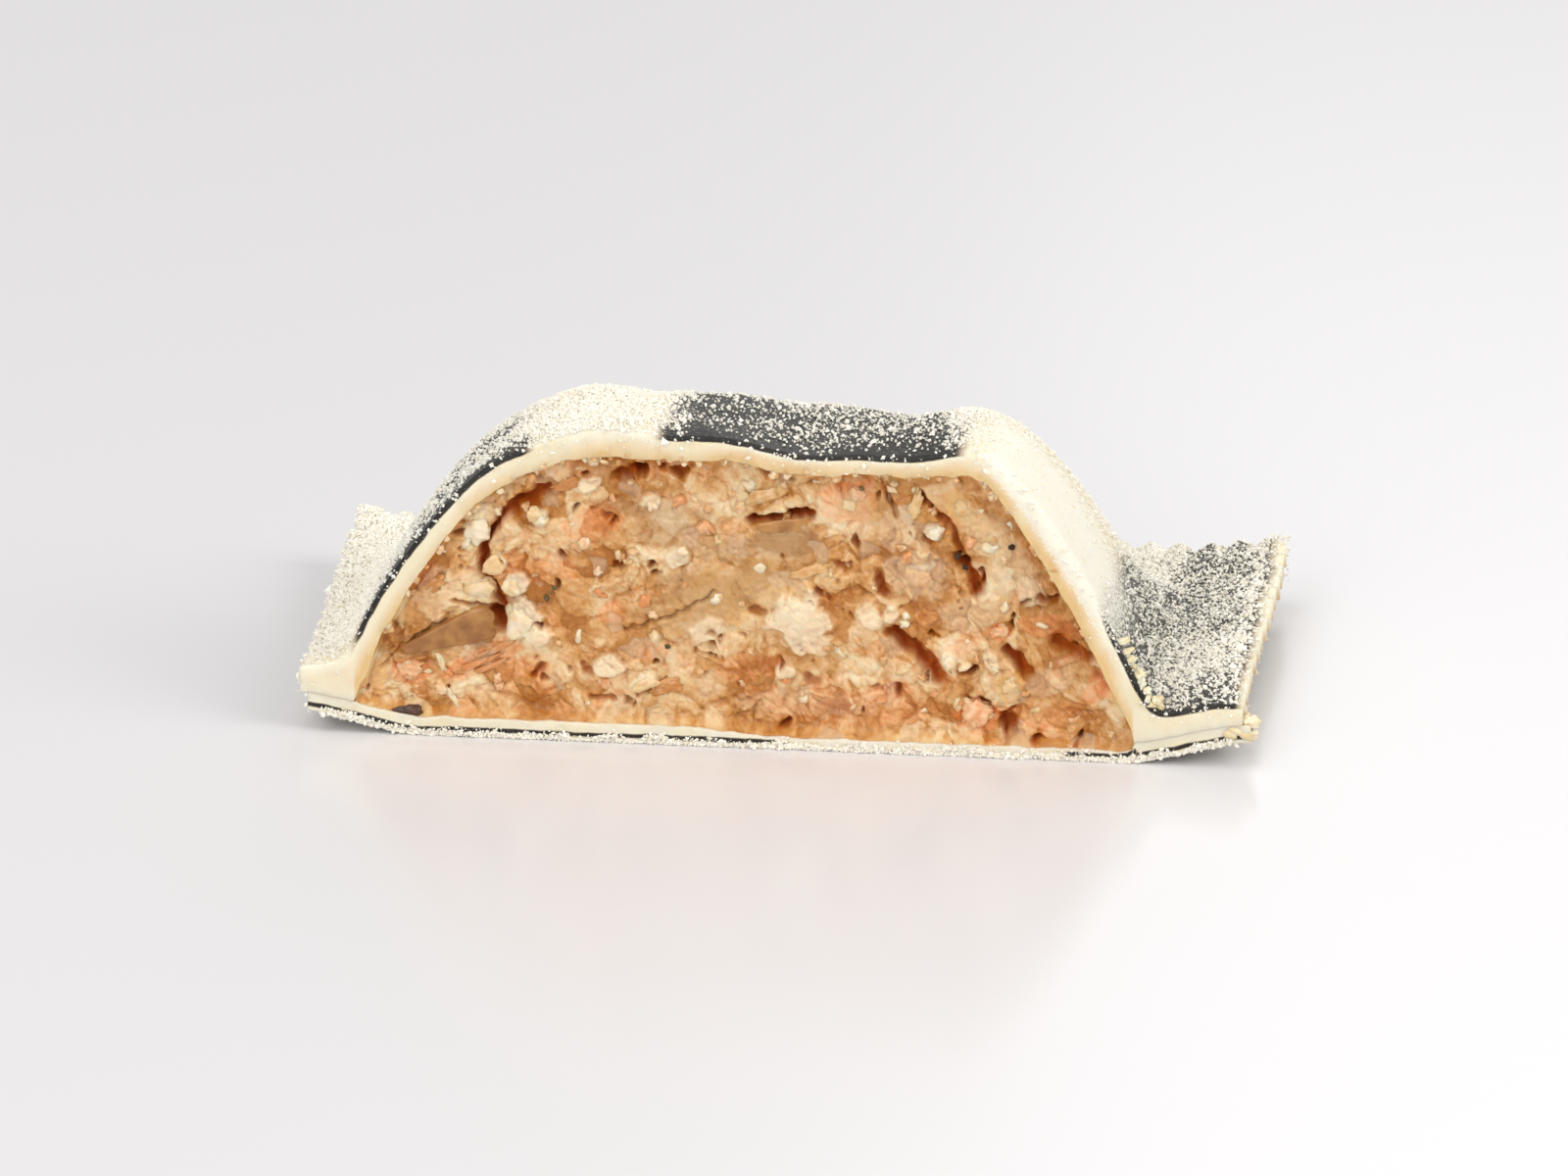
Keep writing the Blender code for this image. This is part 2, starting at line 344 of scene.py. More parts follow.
class ShaderTree:
    """A material in the making: one Principled shader and the nodes that feed it."""

    def __init__(self, name: str, settings: dict[str, Any]) -> None:
        """Start the material.

        Args:
            name: Name of the material.
            settings: The shader's own values by socket name, which nothing is linked to.
        """
        self.material = bpy.data.materials.new(name)
        self.material.use_nodes = True
        self.tree = self.material.node_tree
        self.shader = self.tree.nodes["Principled BSDF"]
        for socket, value in settings.items():
            self.shader.inputs[socket].default_value = linear(value) if isinstance(value, str) else value

    def add(
        self,
        kind: str,
        settings: dict[Any, Any] | None = None,
        links: dict[Any, Any] | None = None,
        output: int | str = 0,
    ) -> bpy.types.NodeSocket:
        """Add a node with its settings and its incoming links.

        Args:
            kind: Blender's name of the node type, after "ShaderNode".
            settings: Values by socket name or number, or by attribute name. "ramp" holds a colour ramp's stops.
            links: Output sockets by the name or number of the input that they feed.
            output: Name or number of the output socket that is wanted.

        Returns:
            That output socket of the new node.
        """
        node = self.tree.nodes.new("ShaderNode" + kind)
        for key, value in (settings or {}).items():
            if key == "ramp":
                stops = node.color_ramp.elements
                while len(stops) < len(value):
                    stops.new(0.5)
                for stop, (position, colour) in zip(stops, value):
                    stop.position = position
                    stop.color = linear(colour) if isinstance(colour, str) else (colour, colour, colour, 1.0)
            elif isinstance(key, str) and hasattr(node, key):
                setattr(node, key, value)
            else:
                node.inputs[key].default_value = linear(value) if isinstance(value, str) else value
        for key, source in (links or {}).items():
            self.tree.links.new(source, node.inputs[key])
        return node.outputs[output]

    def finished(self, **sources: bpy.types.NodeSocket) -> bpy.types.Material:
        """Link each source to the shader's input of its name, with underscores for spaces, and give the material.

        Args:
            sources: Output sockets by the name of the shader's input.

        Returns:
            The material.
        """
        for socket, source in sources.items():
            self.tree.links.new(source, self.shader.inputs[socket.replace("_", " ")])
        return self.material


def make_piece(
    name: str, shell: Shell, material: bpy.types.Material, smooth: bool, stands_for: str | None = None
) -> bpy.types.Object:
    """Make a shell into a finished piece that rides on the part.

    Args:
        name: Name of the piece.
        shell: Its closed surface, in millimetres.
        material: Its finish.
        smooth: Whether its faces are shaded as one curved surface.
        stands_for: CAD node that it replaces, if any.

    Returns:
        The new object.
    """
    shell = shell.outward()
    sides = shell.faces.shape[1]
    mesh = bpy.data.meshes.new(name)
    mesh.vertices.add(len(shell.points))
    mesh.vertices.foreach_set("co", (shell.points * METRES_PER_MM).astype(np.float32).ravel())
    mesh.loops.add(shell.faces.size)
    mesh.loops.foreach_set("vertex_index", shell.faces.astype(np.int32).ravel())
    mesh.polygons.add(len(shell.faces))
    mesh.polygons.foreach_set("loop_start", np.arange(0, shell.faces.size, sides, dtype=np.int32))
    mesh.polygons.foreach_set("use_smooth", np.full(len(shell.faces), smooth))
    for trait, values in shell.traits.items():
        layer = mesh.attributes.new(trait, "FLOAT", "POINT")
        layer.data.foreach_set("value", values.astype(np.float32))
    mesh.update(calc_edges=True)
    mesh.materials.append(material)
    piece = bpy.data.objects.new(name, mesh)
    bpy.context.scene.collection.objects.link(piece)
    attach(piece, BODY)
    if stands_for:
        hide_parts(stands_for)
    LOG.info("%s: %d triangles", name, len(shell.triangles()))
    return piece


@dataclass(frozen=True)
class Form:
    """The raviolo's shape as functions of the place (x, y), the same as in the part's source, in millimetres."""

    length: float = 50.0
    depth: float = 25.0
    crown: float = 17.0
    lower_sheet: float = 1.0
    gap: float = 0.3
    left_dome: tuple[float, float, float] = (-22.2, 13.0, 0.8)
    right_dome: tuple[float, float, float] = (20.0, 10.5, 1.15)
    back_dome: tuple[float, float, float] = (8.0, 15.0, 0.95)
    foot_softness: float = 0.05
    sag: tuple[float, float, float] = (0.8, 5.0, 6.0)
    broad_wave: tuple[float, float, float, float, float] = (0.25, 0.42, 0.38, 0.9, 0.5)
    fine_wave: tuple[float, float, float, float] = (0.12, 0.95, -0.62, 2.1)
    curls: tuple[float, float, float] = (1.1, 1.3, 0.8)
    curl_width: float = 7.0
    tooth_pitch: float = 1.6
    tooth_depth: float = 0.75
    edge_wander: float = 0.35
    teeth_seed: int = 11
    crimp_depth: float = 0.4
    crimp_width: float = 1.9
    crimp_start: float = 0.4
    thickness_x: tuple[float, ...] = (-25, -21, -18, -14, -9, -3, 1, 8, 11, 15, 18, 25)
    thickness: tuple[float, ...] = (1.3, 1.4, 1.15, 1.2, 1.5, 1.25, 1.05, 1.05, 1.5, 1.6, 1.35, 1.3)
    rim_thickness: float = 1.35

    @property
    def cut_y(self) -> float:
        """The knife's plane."""
        return -self.depth / 2

    @property
    def back_y(self) -> float:
        """The tips of the back rim."""
        return self.depth / 2

    @property
    def side_x(self) -> float:
        """The tips of the right rim; the left ones are as far on the other side."""
        return self.length / 2

    @property
    def rim_height(self) -> float:
        """Top of the rim above its own underside."""
        return self.lower_sheet + self.gap + 1.0

    def belly(self, x: np.ndarray, y: np.ndarray) -> np.ndarray:
        """Underside of the lower sheet: level, and curling up towards the three pinked edges as a root of squares.

        Args:
            x: Places along the cut.
            y: Places from the cut to the back.

        Returns:
            Heights above what the raviolo lies on.
        """
        left = self.curls[0] * smooth_step((-x - self.side_x + self.curl_width) / self.curl_width)
        right = self.curls[1] * smooth_step((x - self.side_x + self.curl_width) / self.curl_width)
        back = self.curls[2] * smooth_step((y - self.back_y + self.curl_width) / self.curl_width)
        return np.sqrt(left * left + right * right + back * back)

    def rise(self, distance: np.ndarray, run: float, fullness: float) -> np.ndarray:
        """Share of the dome's height at a distance inside its foot: (1 - (1 - t) squared) to the fullness.

        Args:
            distance: Distances inside the foot.
            run: Distance at which the dome is full.
            fullness: Power of the curve: the lower, the steeper its foot.

        Returns:
            Shares from 0 to 1.
        """
        t = distance / run
        t = np.minimum((t + np.hypot(t, self.foot_softness)) / 2, 1.0)
        return (1 - (1 - t) ** 2) ** fullness

    def dome_share(self, x: np.ndarray, y: np.ndarray) -> np.ndarray:
        """0 on the rim and 1 on the crown: the product of the rises from the left, the right and the back.

        Args:
            x: Places along the cut.
            y: Places from the cut to the back.

        Returns:
            The dome's share at each place.
        """
        left = self.rise(x - self.left_dome[0], *self.left_dome[1:])
        right = self.rise(self.right_dome[0] - x, *self.right_dome[1:])
        back = self.rise(self.back_dome[0] - y, *self.back_dome[1:])
        return left * right * back

    def upper_top(self, x: np.ndarray, y: np.ndarray) -> np.ndarray:
        """Outer surface of the upper sheet: belly, rim height, and the dome's share of crown, waves and dip.

        Args:
            x: Places along the cut.
            y: Places from the cut to the back.

        Returns:
            Heights of the surface.
        """
        share = self.dome_share(x, y)
        height, turn_x, turn_y, phase_x, phase_y = self.broad_wave
        waves = height * np.sin(turn_x * x + phase_x) * np.cos(turn_y * y + phase_y)
        height, turn_x, turn_y, phase = self.fine_wave
        waves = waves + height * np.sin(turn_x * x + turn_y * y + phase)
        waves = waves - self.sag[0] * np.exp(-(((x - self.sag[1]) / self.sag[2]) ** 2))
        rim = self.belly(x, y) + self.rim_height - self.crimp(x, y)
        return rim + share * (self.crown - self.rim_height + waves)

    def crimp(self, x: np.ndarray, y: np.ndarray) -> np.ndarray:
        """How far the pinking wheel has pressed the rim down: in step with each notch, fading out inwards.

        Args:
            x: Places along the cut.
            y: Places from the cut to the back.

        Returns:
            Depths of the print, 0 and up.
        """
        teeth = self.teeth()
        pressed = np.zeros(np.broadcast(x, y).shape)
        for side, place, inside in (
            ("left", y, x + self.side_x),
            ("right", y, self.side_x - x),
            ("back", x, self.back_y - y),
        ):
            notch = np.interp(place, *teeth[side]) * (1 - smooth_step((inside - self.crimp_start) / self.crimp_width))
            pressed = np.maximum(pressed, notch)
        return self.crimp_depth * pressed

    def upper_slopes(self, x: np.ndarray, y: np.ndarray) -> tuple[np.ndarray, np.ndarray]:
        """Slopes of the outer surface along X and Y, from the rise over a tenth of a millimetre.

        Args:
            x: Places along the cut.
            y: Places from the cut to the back.

        Returns:
            Slopes along X, and slopes along Y.
        """
        step = 0.05
        along_x = (self.upper_top(x + step, y) - self.upper_top(x - step, y)) / (2 * step)
        along_y = (self.upper_top(x, y + step) - self.upper_top(x, y - step)) / (2 * step)
        return along_x, along_y

    def stretch(self, x: np.ndarray, y: np.ndarray) -> np.ndarray:
        """Area of the outer surface above a unit of plan: root of 1 plus both slopes squared."""
        slope_x, slope_y = self.upper_slopes(x, y)
        return np.sqrt(1 + slope_x**2 + slope_y**2)

    def from_edge(self, x: np.ndarray, y: np.ndarray) -> np.ndarray:
        """Distance inside the tips of the nearest of the three pinked edges."""
        return np.minimum(np.minimum(x + self.side_x, self.side_x - x), self.back_y - y)

    def lower_top(self, x: np.ndarray, y: np.ndarray) -> np.ndarray:
        """Upper surface of the lower sheet."""
        return self.belly(x, y) + self.lower_sheet

    def dough_thickness(self, x: np.ndarray, y: np.ndarray) -> np.ndarray:
        """Upper sheet square to its surface: listed along the cut and unevenly rolled and torn, and even on the rim.

        Args:
            x: Places along the cut.
            y: Places from the cut to the back.

        Returns:
            Thicknesses.
        """
        listed = np.interp(x, self.thickness_x, self.thickness)
        rolled = 0.10 * gradient_noise(paired(x / 3.1, y / 6.0), 41)
        torn = 0.13 * layered_noise(paired(x / 1.3, y / 3.0), 3, 43)
        nicked = 0.09 * gradient_noise(paired(x / 0.5, y / 1.5), 45)
        extra = listed + rolled + torn + nicked - self.rim_thickness
        return self.rim_thickness + extra * smooth_step(self.dome_share(x, y) * 3)

    def inner_top(self, x: np.ndarray, y: np.ndarray) -> np.ndarray:
        """Inner surface of the upper sheet: one thickness below the outer one, pressed onto the lower sheet.

        The space left between the sheets closes with a smooth step where it is under 0.9 mm high.

        Args:
            x: Places along the cut.
            y: Places from the cut to the back.

        Returns:
            Heights of the surface.
        """
        space = self.upper_top(x, y) - self.dough_thickness(x, y) * self.stretch(x, y) - self.lower_top(x, y)
        return self.lower_top(x, y) + np.maximum(space, 0.0) * smooth_step((space - 0.5) / 0.4)

    def filling_floor(self, x: np.ndarray, y: np.ndarray) -> np.ndarray:
        """Upper surface of the lower sheet: whole under the filling's left end, and pressed in 0.45 mm to its right.

        Args:
            x: Places along the cut.
            y: Places from the cut to the back.

        Returns:
            Heights of the surface that the filling lies on.
        """
        pressed = 0.06 + 0.39 * smooth_step((x + 5.0) / 6.0)
        pressed = pressed + 0.1 * layered_noise(paired(x / 1.1, y / 3.0), 2, 47)
        space = self.inner_top(x, y) - self.lower_top(x, y)
        return self.lower_top(x, y) - pressed * smooth_step(space / 0.8)

    def teeth(self) -> dict[str, tuple[np.ndarray, np.ndarray]]:
        """Pinked edges of a sheet: along each side, places and how far the edge lies inside the tips there.

        Returns:
            For "left", "back" and "right", the places along the side and the inward distances.
        """
        rng = random.Random(self.teeth_seed)
        sides = {
            "left": (self.cut_y, self.back_y - 1.0, 0.4),
            "back": (-self.side_x + 1.0, self.side_x - 1.0, 2.0),
            "right": (self.back_y - 1.0, self.cut_y, 4.0),
        }
        edges = {}
        for side, (start, end, phase) in sides.items():
            count = 2 * round(abs(end - start) / self.tooth_pitch)
            number = np.arange(count + 1)
            draws = np.array([rng.uniform(0.75, 1.2) if i % 2 else 0.0 for i in number])
            inward = self.edge_wander * (0.5 + 0.5 * np.sin(phase + 0.5 * number / math.pi)) + self.tooth_depth * draws
            places = np.linspace(start, end, count + 1)
            order = np.argsort(places)
            edges[side] = places[order], inward[order]
        return edges


class Ink(Enum):
    """Which way a sheet's striped skin faces."""

    ABOVE = 1
    BELOW = -1


@dataclass(frozen=True)
class StripedDough:
    """Fresh egg pasta with strips of squid-ink pasta rolled into one face, cut with a knife and dusted with flour.

    The ink strips are a quarter of a millimetre thick, so at the cut they are a thin dark line. Rolling smears
    their borders into a narrow brown fade. Bare dough is cream, waxy and slightly translucent where it is cut.
    Sizes are in millimetres.
    """

    name: str
    stripes: tuple[tuple[float, float], ...]
    cream: str = "F3E6C6"
    pale_cream: str = "FBF3DF"
    moist_cream: str = "E9C286"
    ink: str = "1A1815"
    ink_grey: str = "302D29"
    border: str = "5E4126"
    dust: str = "F8F3E6"
    skin: float = 0.24
    stripe_fade: float = 0.12
    border_fade: float = 0.55
    ramp_length: float = 52.0
    wander_length: float = 1 / 0.16
    skin_lumps: float = 1 / 0.9
    mottle: float = 1 / 0.42
    dust_specks: float = 1 / 7.0
    speck_relief: float = 0.06
    light_reach: float = 0.9

    def ramp(self, fade: float) -> list[tuple[float, float]]:
        """Stops of a ramp across the sheet's length: 1 inside each stripe, 0 outside, with a fade in mm.

        Args:
            fade: Length of the fade on each side of a stripe.

        Returns:
            Places from 0 to 1 across the sheet, and the value at each.
        """
        stops = []
        for start, end in self.stripes:
            for place, value in ((start - fade, 0.0), (start, 1.0), (end, 1.0), (end + fade, 0.0)):
                stops.append((min(max(place / self.ramp_length + 0.5, 0.0), 1.0), value))
        return stops

    def material(self) -> bpy.types.Material:
        """Build the finish. The sheet carries "skin_depth" in mm and "flour", the share whitened by dust and, on the
        upper sheet's right wall and cut shoulder, by a painted highlight.

        Returns:
            The material.
        """
        settings = {
            "Specular IOR Level": 0.4,
            "Subsurface Weight": 0.5,
            "Subsurface Radius": (1.0, 0.85, 0.6),
            "Subsurface Scale": self.light_reach * METRES_PER_MM,
        }
        finish = ShaderTree(self.name, settings)
        node = finish.add
        scaled, mixed = {"operation": "MULTIPLY_ADD"}, {"data_type": "RGBA"}
        added, multiplied = {"operation": "ADD"}, {"operation": "MULTIPLY"}
        place = node("TexCoord", output="Object")
        across = node("SeparateXYZ", None, {0: place})
        # The rolled stripes wander by a third of a millimetre over about 6 mm.
        wander = node("TexNoise", {"Scale": noise_scale(self.wander_length), "Detail": 2.0}, {"Vector": place})
        shift = node("Math", scaled | {1: 0.0012, 2: -0.0006}, {0: wander})
        wandered = node("Math", added, {0: across, 1: shift})
        share = node("Math", scaled | {1: 1 / (self.ramp_length * METRES_PER_MM), 2: 0.5}, {0: wandered})
        stripe = node("ValToRGB", {"ramp": self.ramp(self.stripe_fade)}, {0: share})
        smear = node("ValToRGB", {"ramp": self.ramp(self.border_fade)}, {0: share})
        depth = node("Attribute", {"attribute_name": "skin_depth"}, output="Fac")
        uneven = node("TexNoise", {"Scale": noise_scale(self.skin_lumps), "Detail": 2.0}, {"Vector": place})
        rough_depth = node("Math", scaled | {1: 0.16, 2: -0.08}, {0: uneven})
        deep = node("Math", added, {0: depth, 1: rough_depth})
        # The ramp runs from just below the skin, which is 0, to just inside it, which is 1.
        limits = {"From Min": self.skin + 0.07, "From Max": self.skin - 0.05, "interpolation_type": "SMOOTHSTEP"}
        skin = node("MapRange", limits, {"Value": deep})
        inked = node("Math", multiplied, {0: stripe, 1: skin})
        smeared = node("Math", multiplied, {0: smear, 1: skin})
        mottle = node("TexNoise", {"Scale": noise_scale(self.mottle), "Detail": 3.0}, {"Vector": place})
        cream = node("ValToRGB", {"ramp": [(0.3, self.cream), (0.7, self.pale_cream)]}, {0: mottle})
        # Dough that lay against the filling has soaked up its oil in blotches and is a shade deeper.
        blotch = node("Math", scaled | {1: 1.6, 2: -0.8}, {0: mottle})
        blotched = node("Math", added, {0: depth, 1: blotch})
        soaked = node("MapRange", {"From Min": 0.5, "From Max": 1.35, "To Max": 0.95}, {"Value": blotched})
        dough = node("Mix", mixed | {7: self.moist_cream}, {0: soaked, 6: cream}, 2)
        browned = node("Mix", mixed | {7: self.border}, {0: smeared, 6: dough}, 2)
        black = node("ValToRGB", {"ramp": [(0.35, self.ink), (0.75, self.ink_grey)]}, {0: mottle})
        striped = node("Mix", mixed, {0: inked, 6: browned, 7: black}, 2)
        # Flour dust finer than the modelled grains clings in specks of about a tenth of a millimetre. The same
        # whitening paints a highlight on the right wall and the cut's right shoulder.
        flour = node("Attribute", {"attribute_name": "flour"}, output="Fac")
        specks = node("TexNoise", {"Scale": noise_scale(self.dust_specks), "Detail": 2.0}, {"Vector": place})
        clinging = node("Math", scaled | {1: 0.42, 2: -0.3}, {0: flour})
        speckled = node("Math", added, {0: specks, 1: clinging})
        dust_and_highlight = node("MapRange", {"From Min": 0.36, "From Max": 0.58, "To Max": 0.85}, {"Value": speckled})
        dusted_and_highlit = node("Mix", mixed | {7: self.dust}, {0: dust_and_highlight, 6: striped}, 2)
        matt = node("MapRange", {"To Min": 0.46, "To Max": 0.95}, {"Value": dust_and_highlight})
        raised = {"Strength": 0.5, "Distance": self.speck_relief * METRES_PER_MM}
        return finish.finished(Base_Color=dusted_and_highlit, Roughness=matt, Normal=node("Bump", raised, {"Height": speckled}))


@dataclass
class PastaSheet:
    """A rolled pasta sheet with pinked edges on three sides and the knife cut on the fourth, in millimetres."""

    name: str
    slot: str
    form: Form
    finish: StripedDough
    top: Callable[[np.ndarray, np.ndarray], np.ndarray]
    underside: Callable[[np.ndarray, np.ndarray], np.ndarray]
    flour: Callable[[np.ndarray, np.ndarray], np.ndarray]
    ink: Ink
    inset: float = 0.0
    scrap_reach: float = 0.0
    columns: int = 300
    rows: int = 130
    push_width: float = 2.5
    corner_cut: float = 0.5
    edge_round: float = 0.14
    shoulder_round: float = 0.4
    # How strongly a highlight is painted on the cut's right shoulder.
    shoulder_highlight: float = 1.3
    ink_lift: float = 0.0

    def cut_round(self, x: np.ndarray) -> np.ndarray:
        """Radius of the cut's outer edge: more on the soft right shoulder, as a bell of power 4."""
        return self.edge_round + self.shoulder_round * plateau(x, 14.0, 3.6)

    def plan(self) -> tuple[np.ndarray, np.ndarray]:
        """Places of the sheet's grid: an even rectangle whose borders are pushed in to the pinked outline.

        Each border's inward distance is added in full at the border and fades out over 2.5 mm with a smooth step.

        Returns:
            x and y, one row for each column of the sheet, from the cut to the back rim.
        """
        form = self.form
        x, y = np.meshgrid(
            np.linspace(-form.side_x, form.side_x, self.columns),
            np.linspace(form.cut_y + self.edge_round, form.back_y, self.rows),
            indexing="ij",
        )
        teeth = form.teeth()
        # Over the last millimetre the corners are cut back.
        back_corner = self.corner_cut * smooth_step(y - form.back_y + 1.0)
        left = np.interp(y, *teeth["left"]) + self.inset + back_corner
        right = np.interp(y, *teeth["right"]) + self.inset + back_corner
        if self.scrap_reach:
            right = right * (1 - smooth_step(1 - (y - form.cut_y) / self.scrap_reach))
        side_corner = self.corner_cut * smooth_step(np.abs(x) - form.side_x + 1.0)
        back = np.interp(x, *teeth["back"]) + self.inset + side_corner
        near_left = 1 - smooth_step((x + form.side_x) / self.push_width)
        near_right = 1 - smooth_step((form.side_x - x) / self.push_width)
        near_back = 1 - smooth_step((form.back_y - y) / self.push_width)
        near_cut = 1 - smooth_step((y - form.cut_y) / self.push_width)
        rounded = near_cut * (self.cut_round(x) - self.edge_round)
        return x + near_left * left - near_right * right, y - near_back * back + rounded

    def shell(self) -> Shell:
        """Loft the sheet through rings: over its top from back to cut, down the cut, and back along its underside.

        Returns:
            The closed surface, with each point's depth under the striped skin and its share whitened by flour and, on
            the upper sheet's right wall and shoulder, by a painted highlight.
        """
        form = self.form
        x, y = self.plan()
        top, under = self.top(x, y), self.underside(x, y)
        # The end on the rounded edge is left out, because the sheet's face starts there.
        shares = np.array([0.0, 0.03, 0.09, 0.18, 0.3, 0.42, 0.54, 0.65, 0.75, 0.84, 0.92, 0.97, 1.0])
        shares = shares[1:] if self.ink is Ink.ABOVE else shares[:-1]
        cut_x = np.repeat(x[:, :1], len(shares), axis=1)
        thick = top[:, :1] - under[:, :1]
        cut_z = top[:, :1] - shares * thick
        slope_x = np.gradient(top[:, 0], x[:, 0])[:, None]
        true_thickness = thick / np.sqrt(1 + slope_x**2)
        depths = shares if self.ink is Ink.ABOVE else 1 - shares
        radius = self.cut_round(x[:, :1])
        left_over = np.clip(radius - depths * true_thickness, 0, radius)
        rounding = radius - np.sqrt(radius**2 - left_over**2)
        drag = 0.07 * layered_noise(paired(cut_x / 0.8, cut_z / 1.2), 3, 61)
        drag = drag + 0.10 * gradient_noise(paired(cut_x / 4.0, cut_z / 4.0), 62)
        # The drag of the blade starts below the skin, so the rounded edge meets the top without a fold.
        drag = drag * smooth_step(depths * true_thickness / 0.3)
        cut_y = form.cut_y + rounding + drag
        ring_x = np.concatenate([x[:, ::-1], cut_x, x], axis=1)
        ring_y = np.concatenate([y[:, ::-1], cut_y, y], axis=1)
        ring_z = np.concatenate([top[:, ::-1], cut_z, under], axis=1)
        full = np.repeat(true_thickness, x.shape[1], axis=1)
        outer, inner = (0 * full, full) if self.ink is Ink.ABOVE else (full, 0 * full)
        shown_depth = np.abs(depths * true_thickness - self.ink_lift)
        # Where the sheets are pressed together no filling has soaked them.
        room = form.inner_top(x[:, :1], y[:, :1]) - form.lower_top(x[:, :1], y[:, :1])
        steeped = 0.3 * plateau(cut_x, 3.0, 6.5) * smooth_step((shown_depth - 0.3) / 0.3)
        shown_depth = np.minimum(shown_depth + steeped, 0.55 + 2.0 * smooth_step(room / 0.8))
        skin = np.concatenate([outer[:, ::-1], shown_depth, inner], axis=1)
        cover = self.flour(x, y)
        # A painted highlight whitens the cut's soft right shoulder, beside the painted highlight on the right wall.
        inward = 1 - smooth_step((shares - 0.3) / 0.5)
        cut_highlight = self.shoulder_highlight * plateau(cut_x, 14.2, 3.6) * inward
        hidden_cover = cover if self.ink is Ink.BELOW else 0.6 * cover
        flour = np.concatenate([cover[:, ::-1], cut_highlight, hidden_cover], axis=1)
        points = np.stack([ring_x, ring_y, ring_z], axis=-1)
        faces = ring_faces(*points.shape[:2])
        return Shell(points.reshape(-1, 3), faces, {"skin_depth": skin.ravel(), "flour": flour.ravel()})

    def build(self, node: str) -> bpy.types.Object:
        """Make the sheet, dressed in its finish, in place of its CAD node."""
        return make_piece(self.name, self.shell(), self.finish.material(), True, node)


